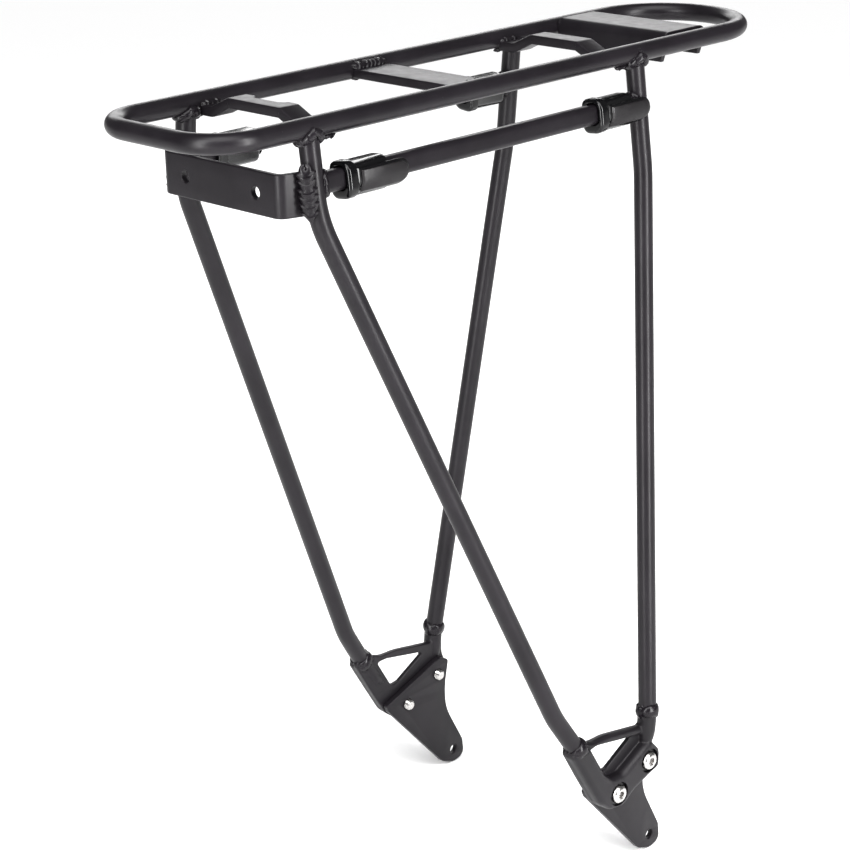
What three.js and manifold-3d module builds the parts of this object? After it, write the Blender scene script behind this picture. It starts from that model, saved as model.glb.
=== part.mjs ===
// Bicycle rear rack: welded 10 mm aluminium rod frame with two bent foot castings.
//
// Frame: millimetres, X forward, Y left, Z up. The origin is midway between the
// two dropout eyelets. Everything is built on the right-hand side (negative Y)
// and mirrored for the left.
import * as THREE from "three";
import { mergeVertices } from "three/addons/utils/BufferGeometryUtils.js";
import Module from "manifold-3d";

const wasm = await Module();
wasm.setup();
const { Manifold, Mesh } = wasm;

// ---------------------------------------------------------------- sizes, mm
const GAP = 0.3; // space left at a welded or seated joint
const ROD_R = 5; // radius of the rods of loop and legs
const ROD_SIDES = 28; // facets round a rod
const SHORTEST_EDGE = 0.15; // no drawn arc has shorter chords

// deck
const DECK_Z = 438; // axis height of the top loop above the eyelets
const DECK_HALF_W = 43; // rail axis to centre plane
const LOOP_REAR_X = -262; // rear end of the loop axis
const LOOP_FRONT_X = 142; // front end of the loop axis
const LOOP_REAR_CORNER_R = 24;
const LOOP_FRONT_CORNER_R = 42;

// legs; their bends are given as drops below the rail's axis
const FRONT_LEG_X = 25.2;
const FRONT_LEG_BEND_Z = DECK_Z - 62;
const FRONT_LEG_BEND_R = 90;
const FRONT_FOOT_X = -7.1;
const FRONT_FOOT_Z = 86;
const REAR_LEG_X = -206.5;
const REAR_LEG_BEND_Z = DECK_Z - 42;
const REAR_LEG_BEND_R = 58;
const REAR_KNEE_X = -81.8;
const REAR_KNEE_Z = 104;
const REAR_KNEE_R = 60;
const REAR_FOOT_X = -69.4;
const REAR_FOOT_Z = 84.5;

// side bar under each rail, a flattened section
const BAR_Z = DECK_Z - 26.2;
const BAR_W = 8;
const BAR_H = 10.5;
const BAR_CORNER_R = 3;

// snap-on clip that slides along the side bar
const CLIP_W = 13;
const CLIP_H = 17;
const CLIP_DROP = 1; // sleeve centre below the bar's centre
const CLIP_CORNER_R = 3.6;
const CLIP_SLEEVE_L = 27.5; // closed sleeve round the bar
const CLIP_LOBE_L = 6; // thicker rear collar of the sleeve
const CLIP_LOBE_GROW = 0.6; // how far the collar stands out
const CLIP_BORE_GAP = 0.3;
const CLIP_SHELL_L = 38.5; // outer wall, which runs on past the sleeve
const CLIP_SHELL_H = 12.8;
const CLIP_SHELL_DROP = 2.3; // wall and pad centre below the bar's centre
const CLIP_LEG_GAP = 0.6; // from that wall to the leg that it passes
const CLIP_SHELL_IN = ROD_R + CLIP_LEG_GAP; // from the frame's plane
const CLIP_SHELL_OUT = CLIP_SHELL_IN + 2;
const REAR_CLIP_GAP = 11; // rear leg to the rear clip
const FRONT_CLIP_GAP = 4.7; // sleeve of the front clip to the front leg
const REAR_CLIP_X = REAR_LEG_X + ROD_R + REAR_CLIP_GAP; // rear ends
const FRONT_CLIP_X = FRONT_LEG_X - ROD_R - FRONT_CLIP_GAP - CLIP_SLEEVE_L;
const PAD_START = 7.5; // pad of a clip, from the clip's rear end
const PAD_L = 29;
const PAD_H = 10.4;
const PAD_PROUD = 1.1; // how far the pad stands out of the wall
const PAD_SEAT = 0.9; // depth of its seat in the outer wall
const PAD_CORNER_R = 4;
const PAD_EDGE = 0.6; // chamfer round the outer face

// light bracket across the rear legs
const BRACKET_BEHIND = 17.7; // rear face behind the rear legs' axes
const BRACKET_X = REAR_LEG_X - BRACKET_BEHIND;
const BRACKET_Z = DECK_Z - 29.7;
const BRACKET_H = 21;
const BRACKET_T = 3;
const BRACKET_INSET = 6; // bends inboard of the legs' axes
const BRACKET_END_INSET = 1.1; // welded ends inboard of the legs' axes
const BRACKET_BEND_R = 4;
const LIGHT_HOLE_PITCH = 50;
const LIGHT_HOLE_R = 3;

// cross pieces of the deck
const ARCH_W = 12.5;
const ARCH_T = 5;
const ARCH_RISE = 6; // plateau above the foot
const ARCH_TOP = 5.2; // plateau above the rail axis
const ARCH_SLOPE_L = 12.5; // run of each slope
const REAR_ARCH_FLAT_HALF = 18.5;
const FRONT_ARCH_FLAT_HALF = 16.5;
const REAR_ARCH_X = REAR_LEG_X + 11.3; // each beside its pair of legs
const FRONT_ARCH_X = FRONT_LEG_X - 9;
const ARCH_WAIST_HALF = 8.5; // half length of the notch in the plateau's edge
const ARCH_WAIST_DEPTH = 3.4;
const MID_PLATE_X = -88.5;
const MID_PLATE_W = 23;
const MID_PLATE_T = 4.6;
const MID_PLATE_TOP = 1; // above the rail axis
const COVER_X = 73.7;
const COVER_W = 34;
const COVER_WALL = 3;
const COVER_TOP = 5.4; // above the rail axis
const COVER_H = 16;
const COVER_EDGE_R = 5;
const COVER_HALF_W = DECK_HALF_W - 4.8;

// foot plate with the dropout eyelet
const PLATE_IN_Y = 75.5;
const PLATE_T = 3.5;
const EYELET_R = 2.8;

// foot casting
const CAST_IN_Y = PLATE_IN_Y + PLATE_T + GAP;
const CAST_WEB_T = 3;
const CAST_PAD_T = 6; // under the washers
const CAST_LUG_T = 9.2; // round the washers and along the arm
const COUNTERBORE_R = 7;
const COLLAR_R = ROD_R + 1.4; // collar round the foot of a leg
const COLLAR_L = 8;
const STUB_R = ROD_R + 0.3; // stub under the collar
const STUB_L = 14;
const SCREW_UPPER = [-11.8, 54.6];
const SCREW_LOWER = [-37.6, 44.2];

// screws and washers
const SCREW_R = 3;
const SCREW_HOLE_R = 3.3;
const SCREW_TIP = 2.6; // length beyond the plate
const HEAD_R = 5.25;
const HEAD_H = 3.3;
const SOCKET_KEY_R = 2.3;
const SOCKET_KEY_DEPTH = 1.6;
const WASHER_R = 6.7;
const WASHER_T = 1.5;
const WASHER_BORE_R = 3.35;

// ---------------------------------------------------------------- materials
const paint = (color, roughness, metalness) =>
  new THREE.MeshStandardMaterial({ color, roughness, metalness });
const COATED = paint(0x2a272b, 0.42, 0.35); // satin black coating on aluminium
const CAST = paint(0x2d2a2e, 0.5, 0.3); // coated casting
const GLOSS = paint(0x121114, 0.22, 0.0); // glossy black plastic
const SATIN = paint(0x29262a, 0.5, 0.0); // satin black plastic
const STAINLESS = paint(0xb9b7b6, 0.3, 1.0); // screws
const BLACK = paint(0x0e0d0f, 0.5, 0.2); // washers

// ------------------------------------------------------------ solid helpers
function toSolid(geometry) {
  const bare = new THREE.BufferGeometry().setAttribute(
    "position",
    (geometry.index ? geometry.toNonIndexed() : geometry).getAttribute(
      "position",
    ),
  );
  const merged = mergeVertices(bare, 1e-4);
  return new Manifold(
    new Mesh({
      numProp: 3,
      vertProperties: new Float32Array(merged.attributes.position.array),
      triVerts: new Uint32Array(merged.index.array),
    }),
  );
}

function toMesh(name, solid, material) {
  const data = solid.getMesh();
  const geometry = new THREE.BufferGeometry()
    .setAttribute(
      "position",
      new THREE.BufferAttribute(new Float32Array(data.vertProperties), 3),
    )
    .setIndex(new THREE.BufferAttribute(new Uint32Array(data.triVerts), 1));
  const flat = geometry.toNonIndexed();
  flat.computeVertexNormals();
  const mesh = new THREE.Mesh(flat, material);
  mesh.name = name;
  return mesh;
}

// A polygon whose corners, [x, y, radius], are rounded by arcs of arcSteps
// chords in a right angle. An arc shorter than the shortest edge stays a corner.
function rounded(corners, arcSteps = 6) {
  const out = [];
  corners.forEach(([x, y, r = 0], i) => {
    const here = new THREE.Vector2(x, y);
    const [px, py] = corners[(i + corners.length - 1) % corners.length];
    const [nx, ny] = corners[(i + 1) % corners.length];
    const a = new THREE.Vector2(px, py).sub(here);
    const b = new THREE.Vector2(nx, ny).sub(here);
    const la = a.length(),
      lb = b.length();
    a.normalize();
    b.normalize();
    const half = Math.acos(THREE.MathUtils.clamp(a.dot(b), -1, 1)) / 2;
    const cut = Math.min(r / Math.tan(half), la * 0.49, lb * 0.49);
    const radius = cut * Math.tan(half);
    if (!(radius > 1e-6)) {
      out.push(here);
      return;
    }
    const middle = a.clone().add(b).normalize();
    const centre = here.clone().addScaledVector(middle, radius / Math.sin(half));
    const from = here.clone().addScaledVector(a, cut).sub(centre);
    const to = here.clone().addScaledVector(b, cut).sub(centre);
    const turn = Math.atan2(
      from.x * to.y - from.y * to.x,
      from.x * to.x + from.y * to.y,
    );
    if (radius * Math.abs(turn) < SHORTEST_EDGE) {
      out.push(here);
      return;
    }
    const steps = Math.min(
      Math.max(1, Math.round((arcSteps * Math.abs(turn)) / (Math.PI / 2))),
      Math.ceil((radius * Math.abs(turn)) / SHORTEST_EDGE),
    );
    for (let k = 0; k <= steps; k++)
      out.push(
        from
          .clone()
          .rotateAround(new THREE.Vector2(), (turn * k) / steps)
          .add(centre),
      );
  });
  return out;
}

function circlePath(x, y, r, sides = 24) {
  const points = [];
  for (let k = 0; k < sides; k++) {
    const a = (-2 * Math.PI * k) / sides;
    points.push(new THREE.Vector2(x + r * Math.cos(a), y + r * Math.sin(a)));
  }
  return new THREE.Path(points);
}

// Extrudes an outline (with holes) drawn in X-Z along -Y from y0 by t.
function alongY(outline, holes, y0, t) {
  const shape = new THREE.Shape(outline);
  shape.holes.push(...holes);
  const g = new THREE.ExtrudeGeometry(shape, {
    depth: t,
    bevelEnabled: false,
    steps: 1,
  });
  g.rotateX(Math.PI / 2);
  g.translate(0, y0, 0);
  return toSolid(g);
}

// Extrudes an outline drawn in Y-Z along X, centred on x.
function alongX(outline, holes, x, length) {
  const shape = new THREE.Shape(outline);
  shape.holes.push(...holes);
  const g = new THREE.ExtrudeGeometry(shape, {
    depth: length,
    bevelEnabled: false,
    steps: 1,
  });
  // local x to Y, local y to Z, depth to X
  g.applyMatrix4(
    new THREE.Matrix4().makeBasis(
      new THREE.Vector3(0, 1, 0),
      new THREE.Vector3(0, 0, 1),
      new THREE.Vector3(1, 0, 0),
    ),
  );
  g.translate(x - length / 2, 0, 0);
  return toSolid(g);
}

// A round bar between two points.
function bar(from, to, radius, sides = ROD_SIDES) {
  const a = new THREE.Vector3(...from),
    b = new THREE.Vector3(...to);
  const g = new THREE.CylinderGeometry(radius, radius, a.distanceTo(b), sides);
  g.applyQuaternion(
    new THREE.Quaternion().setFromUnitVectors(
      new THREE.Vector3(0, 1, 0),
      b.clone().sub(a).normalize(),
    ),
  );
  g.translate(...a.add(b).multiplyScalar(0.5).toArray());
  return toSolid(g);
}

// Stations of a planar path through [x, y] corners with bend radii: a point
// and its direction at each place where the path starts to turn or turns.
function bentPath(corners, stepDeg = 5) {
  const v = corners.map(([x, y]) => new THREE.Vector2(x, y));
  const out = [];
  for (let i = 0; i < v.length; i++) {
    if (i === 0 || i === v.length - 1) {
      const t = v[Math.min(i + 1, v.length - 1)]
        .clone()
        .sub(v[Math.max(i - 1, 0)])
        .normalize();
      out.push({ p: v[i], t });
      continue;
    }
    const t0 = v[i].clone().sub(v[i - 1]).normalize();
    const t1 = v[i + 1].clone().sub(v[i]).normalize();
    const turn = Math.atan2(t0.x * t1.y - t0.y * t1.x, t0.dot(t1));
    const r = corners[i][2];
    const cut = r * Math.tan(Math.abs(turn) / 2);
    const side = Math.sign(turn);
    const start = v[i].clone().addScaledVector(t0, -cut);
    const centre = start
      .clone()
      .add(new THREE.Vector2(-t0.y, t0.x).multiplyScalar(side * r));
    const steps = Math.max(
      2,
      Math.ceil(Math.abs(turn) / THREE.MathUtils.degToRad(stepDeg)),
    );
    for (let k = 0; k <= steps; k++) {
      const a = (turn * k) / steps;
      out.push({
        p: start.clone().rotateAround(centre, a),
        t: t0.clone().rotateAround(new THREE.Vector2(), a),
      });
    }
  }
  return out;
}

// A solid from points and triangles, turned to face out.
function closedSolid(positions, index) {
  const make = (order) =>
    toSolid(
      new THREE.BufferGeometry()
        .setAttribute("position", new THREE.Float32BufferAttribute(positions, 3))
        .setIndex(order),
    );
  const solid = make(index);
  if (solid.volume() > 0) return solid;
  const turned = index.slice();
  for (let k = 0; k < turned.length; k += 3)
    [turned[k + 1], turned[k + 2]] = [turned[k + 2], turned[k + 1]];
  return make(turned);
}

// Sweeps a closed section (points [across, up]) along stations that lie in the
// plane of axes e1 and e2; "up" is the plane's normal.
function sweep(section, stations, e1, e2, closed = false) {
  const up = e1.clone().cross(e2);
  const n = section.length,
    positions = [],
    index = [];
  for (const { p, t } of stations) {
    const base = e1.clone().multiplyScalar(p.x).addScaledVector(e2, p.y);
    const across = e1.clone().multiplyScalar(-t.y).addScaledVector(e2, t.x);
    for (const [a, u] of section)
      positions.push(
        ...base
          .clone()
          .addScaledVector(across, a)
          .addScaledVector(up, u)
          .toArray(),
      );
  }
  const rings = stations.length;
  for (let i = 0; i < (closed ? rings : rings - 1); i++) {
    const j = (i + 1) % rings;
    for (let k = 0; k < n; k++) {
      const l = (k + 1) % n;
      const a = i * n + k,
        b = i * n + l,
        c = j * n + l,
        d = j * n + k;
      index.push(a, b, c, a, c, d);
    }
  }
  if (!closed) {
    const end = (rings - 1) * n;
    for (let k = 1; k + 1 < n; k++) {
      index.push(0, k + 1, k);
      index.push(end, end + k, end + k + 1);
    }
  }
  return closedSolid(positions, index);
}

// Joins rings of equal point count; the end rings are convex and get caps.
function loft(rings) {
  const n = rings[0].length,
    positions = rings.flat().flatMap((p) => p.toArray()),
    index = [];
  for (let i = 0; i + 1 < rings.length; i++)
    for (let k = 0; k < n; k++) {
      const l = (k + 1) % n;
      const a = i * n + k,
        b = i * n + l;
      index.push(a, b, b + n, a, b + n, a + n);
    }
  const end = (rings.length - 1) * n;
  for (let k = 1; k + 1 < n; k++) {
    index.push(0, k + 1, k);
    index.push(end, end + k, end + k + 1);
  }
  return closedSolid(positions, index);
}

// A solid of rings round the line from point along dir: [distance, radius].
function turned(point, dir, profile, sides = ROD_SIDES) {
  const side = dir.clone().cross(Y).normalize();
  const other = dir.clone().cross(side);
  return loft(
    profile.map(([d, r]) =>
      Array.from({ length: sides }, (_, k) => {
        const a = (2 * Math.PI * (k + 0.37)) / sides;
        return point
          .clone()
          .addScaledVector(dir, d)
          .addScaledVector(side, r * Math.cos(a))
          .addScaledVector(other, r * Math.sin(a));
      }),
    ),
  );
}

const roundSection = (r, sides = ROD_SIDES) =>
  Array.from({ length: sides }, (_, k) => {
    const a = (2 * Math.PI * k) / sides;
    return [r * Math.cos(a), r * Math.sin(a)];
  });

const boxSection = (w, h, r = 0, steps = 5) =>
  rounded(
    [
      [-w / 2, -h / 2, r],
      [w / 2, -h / 2, r],
      [w / 2, h / 2, r],
      [-w / 2, h / 2, r],
    ],
    steps,
  );

const X = new THREE.Vector3(1, 0, 0);
const Y = new THREE.Vector3(0, 1, 0);
const Z = new THREE.Vector3(0, 0, 1);

// -------------------------------------------------------------- side frames
// The plane of the right side frame: it holds the rail's axis and leans out so
// far that the legs end in the middle of the casting. "down" runs along the
// plane away from the rail.
const splay = Math.atan2(
  CAST_IN_Y + CAST_PAD_T / 2 - DECK_HALF_W,
  DECK_Z - FRONT_FOOT_Z,
);
const down = new THREE.Vector3(0, -Math.sin(splay), -Math.cos(splay));
const outward = new THREE.Vector3(0, -Math.cos(splay), Math.sin(splay));
const railPoint = new THREE.Vector3(0, -DECK_HALF_W, DECK_Z);
const depthAt = (z) => (DECK_Z - z) / Math.cos(splay);
// world point of (x, height z) in the plane, moved outward by out
const onSide = (x, z, out = 0) =>
  new THREE.Vector3(x, 0, 0)
    .add(railPoint)
    .addScaledVector(down, depthAt(z))
    .addScaledVector(outward, out);

function sideSweep(section, corners) {
  const path = bentPath(corners.map(([x, z, r]) => [x, depthAt(z), r]));
  return sweep(section, path, X, down).translate(railPoint.toArray());
}

const railCutter = (grow = GAP) =>
  bar(
    [LOOP_REAR_X - 40, -DECK_HALF_W, DECK_Z],
    [LOOP_FRONT_X + 40, -DECK_HALF_W, DECK_Z],
    ROD_R + grow,
    48,
  );
const bothRails = () => {
  const right = railCutter();
  return right.add(right.mirror([0, 1, 0]));
};

const frontLegPath = [
  [FRONT_LEG_X, DECK_Z],
  [FRONT_LEG_X, FRONT_LEG_BEND_Z, FRONT_LEG_BEND_R],
  [FRONT_FOOT_X, FRONT_FOOT_Z],
];
const rearLegPath = [
  [REAR_LEG_X, DECK_Z],
  [REAR_LEG_X, REAR_LEG_BEND_Z, REAR_LEG_BEND_R],
  [REAR_KNEE_X, REAR_KNEE_Z, REAR_KNEE_R],
  [REAR_FOOT_X, REAR_FOOT_Z],
];
const legSolid = (path) =>
  sideSweep(roundSection(ROD_R), path).subtract(railCutter());

// Straight cutter round the upper, vertical part of a leg.
const legCutter = (x) =>
  bar(
    onSide(x, DECK_Z + 5).toArray(),
    onSide(x, BRACKET_Z - BRACKET_H).toArray(),
    ROD_R + GAP,
    48,
  );

function sideBar() {
  return sideSweep(boxSection(BAR_H, BAR_W, BAR_CORNER_R).map((p) => [p.x, p.y]), [
    [REAR_LEG_X, BAR_Z],
    [FRONT_LEG_X, BAR_Z],
  ])
    .subtract(legCutter(REAR_LEG_X))
    .subtract(legCutter(FRONT_LEG_X));
}

// A block swept along the bar's direction: section size, length, place.
function alongBar(w, h, r, x0, length, z = BAR_Z, out = 0, steps = 5) {
  return sideSweep(boxSection(h, w, r, steps).map((p) => [p.x, p.y]), [
    [x0, z],
    [x0 + length, z],
  ]).translate(outward.clone().multiplyScalar(out).toArray());
}

// Outline of a clip's outer wall or pad in the frame's plane, from x to x + l.
function tongue(x, l, h, r, out, inset = 0) {
  return rounded(
    [
      [inset, -h / 2 + inset, 0.8],
      [l - inset, -h / 2 + inset, r - inset],
      [l - inset, h / 2 - inset, r - inset],
      [inset, h / 2 - inset, 0.8],
    ],
    5,
  ).map((p) =>
    onSide(x + p.x, BAR_Z - CLIP_SHELL_DROP, out).addScaledVector(down, -p.y),
  );
}

function clipSleeve(x0) {
  const bore = alongBar(
    BAR_W + 2 * CLIP_BORE_GAP,
    BAR_H + 2 * CLIP_BORE_GAP,
    BAR_CORNER_R + CLIP_BORE_GAP,
    x0 - 5,
    CLIP_SLEEVE_L + 5 + GAP,
  );
  const z = BAR_Z - CLIP_DROP;
  const body = alongBar(CLIP_W, CLIP_H, CLIP_CORNER_R, x0, CLIP_SLEEVE_L, z);
  const lobe = alongBar(
    CLIP_W + 2 * CLIP_LOBE_GROW,
    CLIP_H + 2 * CLIP_LOBE_GROW,
    CLIP_CORNER_R + CLIP_LOBE_GROW,
    x0,
    CLIP_LOBE_L,
    z,
  );
  const wall = (inset, out) =>
    tongue(
      x0 + CLIP_LOBE_L - 1,
      CLIP_SHELL_L - CLIP_LOBE_L + 1,
      CLIP_SHELL_H,
      PAD_CORNER_R + 1,
      out,
      inset,
    );
  const shell = loft([
    wall(0, CLIP_SHELL_IN),
    wall(0, CLIP_SHELL_OUT - 1),
    wall(1, CLIP_SHELL_OUT),
  ]);
  const floor = CLIP_SHELL_OUT - PAD_SEAT;
  const seat = (out) =>
    tongue(
      x0 + PAD_START - GAP,
      PAD_L + 2 * GAP,
      PAD_H + 2 * GAP,
      PAD_CORNER_R + GAP,
      out,
    );
  return body
    .add(lobe)
    .add(shell)
    .subtract(loft([seat(floor), seat(CLIP_SHELL_OUT + 4)]))
    .subtract(bore);
}

function clipPad(x0) {
  const ring = (inset, out) =>
    tongue(x0 + PAD_START, PAD_L, PAD_H, PAD_CORNER_R, out, inset);
  return loft([
    ring(0, CLIP_SHELL_OUT - PAD_SEAT + GAP),
    ring(0, (CLIP_SHELL_OUT + PAD_PROUD) - PAD_EDGE),
    ring(PAD_EDGE, (CLIP_SHELL_OUT + PAD_PROUD)),
  ]);
}

// ------------------------------------------------------------ foot castings
const castMidY = CAST_IN_Y + CAST_PAD_T / 2;

function footPlate() {
  const outline = rounded([
    [0.3, -8.5, 7],
    [8.9, -6.6, 6.5],
    [8, 4, 8],
    [-6.1, 31, 30],
    [-6.1, 46, 30],
    [-2.8, 61.5, 2.2],
    [-9.5, 64.8, 3],
    [-14.5, 63.6, 4],
    [-55.2, 49, 1.2],
    [-53.4, 44.6, 2],
    [-9.5, -5, 7],
  ]);
  return alongY(
    outline,
    [
      circlePath(0, 0, EYELET_R, 32),
      circlePath(...SCREW_UPPER, SCREW_HOLE_R, 28),
      circlePath(...SCREW_LOWER, SCREW_HOLE_R, 28),
    ],
    -PLATE_IN_Y,
    PLATE_T,
  );
}

function footCasting() {
  const inner = -CAST_IN_Y;
  // a corner of the outline, given from the rear or the front leg's end
  const atRear = (x, z, r) => [REAR_FOOT_X + x, REAR_FOOT_Z + z, r];
  const atFront = (x, z, r) => [FRONT_FOOT_X + x, FRONT_FOOT_Z + z, r];
  const web = alongY(
    rounded([
      atRear(-7.6, -0.5, 3),
      [-64, 61.4, 12],
      [-52.8, 42.8, 8],
      [-44.3, 36.2, 6],
      [-33, 34.4, 6],
      [-24.2, 40.2, 8],
      [-11, 44.8, 10],
      [-1.8, 47, 4],
      [-1.6, 58, 5],
      atFront(2.7, -20, 5),
      atFront(2.7, -7.5, 1),
      atFront(-7.4, -11.1, 2),
      [-43.6, 80.4, 20],
      atRear(15, -3.9, 6),
      atRear(7.4, 1.5, 3),
    ]),
    [
      new THREE.Path(
        rounded([
          [-58.2, 77.6, 1.2],
          [-47.3, 58.9, 2.4],
          [-41.2, 59.4, 2],
          [-21.2, 70.2, 1.4],
          [-23.4, 71.9, 1.2],
          [-50.5, 77.4, 8],
        ]).reverse(),
      ),
    ],
    inner,
    CAST_WEB_T,
  );
  // outer layer: the arm and the pad that carries the screws
  const arm = alongY(
    rounded([
      atRear(-7, -1.5, 3),
      [-63.5, 61.2, 12],
      [-52.6, 43, 8],
      [-44.2, 36.5, 6],
      [-33, 34.8, 6],
      [-24.4, 40.6, 8],
      [-11, 45.2, 10],
      [-2.2, 47.4, 4],
      [-1.8, 58, 5],
      [-9.6, 66.5, 3],
      [-15.6, 64.2, 4],
      [-34.6, 54.8, 6],
      [-42.6, 55.4, 4],
      [-48.4, 60.4, 6],
      atRear(8.6, -3, 4),
    ]),
    [],
    inner,
    CAST_LUG_T,
  );
  const crossBar = alongY(
    rounded([
      atRear(11.6, -8.5, 1),
      atRear(17.9, -7.3, 6),
      [-40, 75, 10],
      atFront(-2.9, -16.8, 2),
      atFront(-2.9, -12, 2),
      [-40, 79.3, 10],
      atRear(16.9, -4.4, 6),
      atRear(8.9, -2.5, 1),
    ]),
    [],
    inner,
    CAST_PAD_T - 0.9,
  );
  const rearTop = onSide(REAR_FOOT_X, REAR_FOOT_Z);
  const frontTop = onSide(FRONT_FOOT_X, FRONT_FOOT_Z);
  const rearDir = onSide(REAR_FOOT_X, REAR_FOOT_Z)
    .sub(onSide(REAR_KNEE_X, REAR_KNEE_Z))
    .normalize();
  const frontDir = onSide(FRONT_FOOT_X, FRONT_FOOT_Z)
    .sub(onSide(FRONT_LEG_X, FRONT_LEG_BEND_Z))
    .normalize();
  const socket = (top, dir) =>
    turned(top, dir, [
      [GAP, COLLAR_R - 0.7],
      [GAP + 0.7, COLLAR_R],
      [COLLAR_L - 1.2, COLLAR_R],
      [COLLAR_L, STUB_R],
      [STUB_L, STUB_R],
      [STUB_L + 4.5, STUB_R * 0.5],
    ]);
  // the stubs don't reach past the casting's inner face, where the plate is
  const inside = alongY(
    [
      new THREE.Vector2(-120, 20),
      new THREE.Vector2(30, 20),
      new THREE.Vector2(30, 66),
      new THREE.Vector2(-120, 66),
    ],
    [],
    0,
    CAST_IN_Y,
  );
  // the casting ends where a leg's end face sits on it
  const above = (top, dir) =>
    bar(
      top.clone().addScaledVector(dir, GAP).toArray(),
      top.clone().addScaledVector(dir, -30).toArray(),
      2 * ROD_R,
    );
  let solid = web
    .add(arm)
    .add(crossBar)
    .add(socket(rearTop, rearDir))
    .add(socket(frontTop, frontDir))
    .subtract(inside)
    .subtract(above(rearTop, rearDir))
    .subtract(above(frontTop, frontDir));
  // the screws' holes, and the counterbores that washers and heads sit in
  const seatY = -CAST_IN_Y - CAST_PAD_T;
  for (const [x, z] of [SCREW_UPPER, SCREW_LOWER])
    solid = solid
      .subtract(bar([x, -CAST_IN_Y + 20, z], [x, -CAST_IN_Y - 30, z], SCREW_HOLE_R, 28))
      .subtract(bar([x, seatY, z], [x, seatY - 30, z], COUNTERBORE_R, 36));
  return solid;
}

const washerInY = CAST_IN_Y + CAST_PAD_T + GAP;
function washer([x, z]) {
  const at = (r) =>
    bar([x, -washerInY, z], [x, -washerInY - WASHER_T, z], r, 32);
  const hole = bar(
    [x, -washerInY + 2, z],
    [x, -washerInY - WASHER_T - 2, z],
    WASHER_BORE_R,
    28,
  );
  return at(WASHER_R).subtract(hole);
}

// Button-head screw, turned about its axis, with a hexagon key recess.
function screw([x, z]) {
  const headBase = washerInY + WASHER_T + GAP;
  const tipY = PLATE_IN_Y - SCREW_TIP;
  const profile = [
    [0, tipY],
    [SCREW_R - 0.5, tipY],
    [SCREW_R, tipY + 0.5],
    [SCREW_R, headBase],
    [HEAD_R, headBase],
    [HEAD_R, headBase + 0.5],
    [HEAD_R * 0.94, headBase + HEAD_H * 0.42],
    [HEAD_R * 0.8, headBase + HEAD_H * 0.72],
    [HEAD_R * 0.58, headBase + HEAD_H * 0.94],
    [HEAD_R * 0.5, headBase + HEAD_H],
    [0, headBase + HEAD_H],
  ].map(([r, h]) => new THREE.Vector2(r, h));
  const turned = new THREE.LatheGeometry(profile, 24);
  turned.rotateX(Math.PI); // the head points to negative Y
  turned.translate(x, 0, z);
  const key = new THREE.CylinderGeometry(
    SOCKET_KEY_R,
    SOCKET_KEY_R,
    SOCKET_KEY_DEPTH * 2,
    6,
  );
  key.translate(x, -(headBase + HEAD_H), z);
  return toSolid(turned).subtract(toSolid(key));
}

function sideGroup(side) {
  const group = new THREE.Group();
  group.name = "side_" + side;
  const put = (name, solid, material) =>
    group.add(toMesh(name + "_" + side, solid, material));
  put("rear_leg", legSolid(rearLegPath), COATED);
  put("front_leg", legSolid(frontLegPath), COATED);
  put("side_bar", sideBar(), COATED);
  put("foot_casting", footCasting(), CAST);
  put("foot_plate", footPlate(), COATED);
  put("washer_upper", washer(SCREW_UPPER), BLACK);
  put("washer_lower", washer(SCREW_LOWER), BLACK);
  put("screw_upper", screw(SCREW_UPPER), STAINLESS);
  put("screw_lower", screw(SCREW_LOWER), STAINLESS);
  put("clip_rear_sleeve", clipSleeve(REAR_CLIP_X), GLOSS);
  put("clip_rear_pad", clipPad(REAR_CLIP_X), SATIN);
  put("clip_front_sleeve", clipSleeve(FRONT_CLIP_X), GLOSS);
  put("clip_front_pad", clipPad(FRONT_CLIP_X), SATIN);
  if (side === "left") group.scale.y = -1;
  return group;
}

// -------------------------------------------------------------------- deck
function topLoop() {
  const stations = [];
  const w = DECK_HALF_W;
  const corners = [
    [LOOP_FRONT_X, -w, LOOP_FRONT_CORNER_R, -90],
    [LOOP_FRONT_X, w, LOOP_FRONT_CORNER_R, 0],
    [LOOP_REAR_X, w, LOOP_REAR_CORNER_R, 90],
    [LOOP_REAR_X, -w, LOOP_REAR_CORNER_R, 180],
  ];
  const steps = 18;
  for (const [cx, cy, r, from] of corners) {
    const radius = Math.min(r, w - 0.5);
    const centre = new THREE.Vector2(
      cx - Math.sign(cx - (LOOP_REAR_X + LOOP_FRONT_X) / 2) * radius,
      cy - Math.sign(cy) * radius,
    );
    for (let k = 0; k <= steps; k++) {
      const a = THREE.MathUtils.degToRad(from + (90 * k) / steps);
      stations.push({
        p: new THREE.Vector2(
          centre.x + radius * Math.cos(a),
          centre.y + radius * Math.sin(a),
        ),
        t: new THREE.Vector2(-Math.sin(a), Math.cos(a)),
      });
    }
  }
  return sweep(roundSection(ROD_R), stations, X, Y, true).translate([
    0,
    0,
    DECK_Z,
  ]);
}

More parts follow.
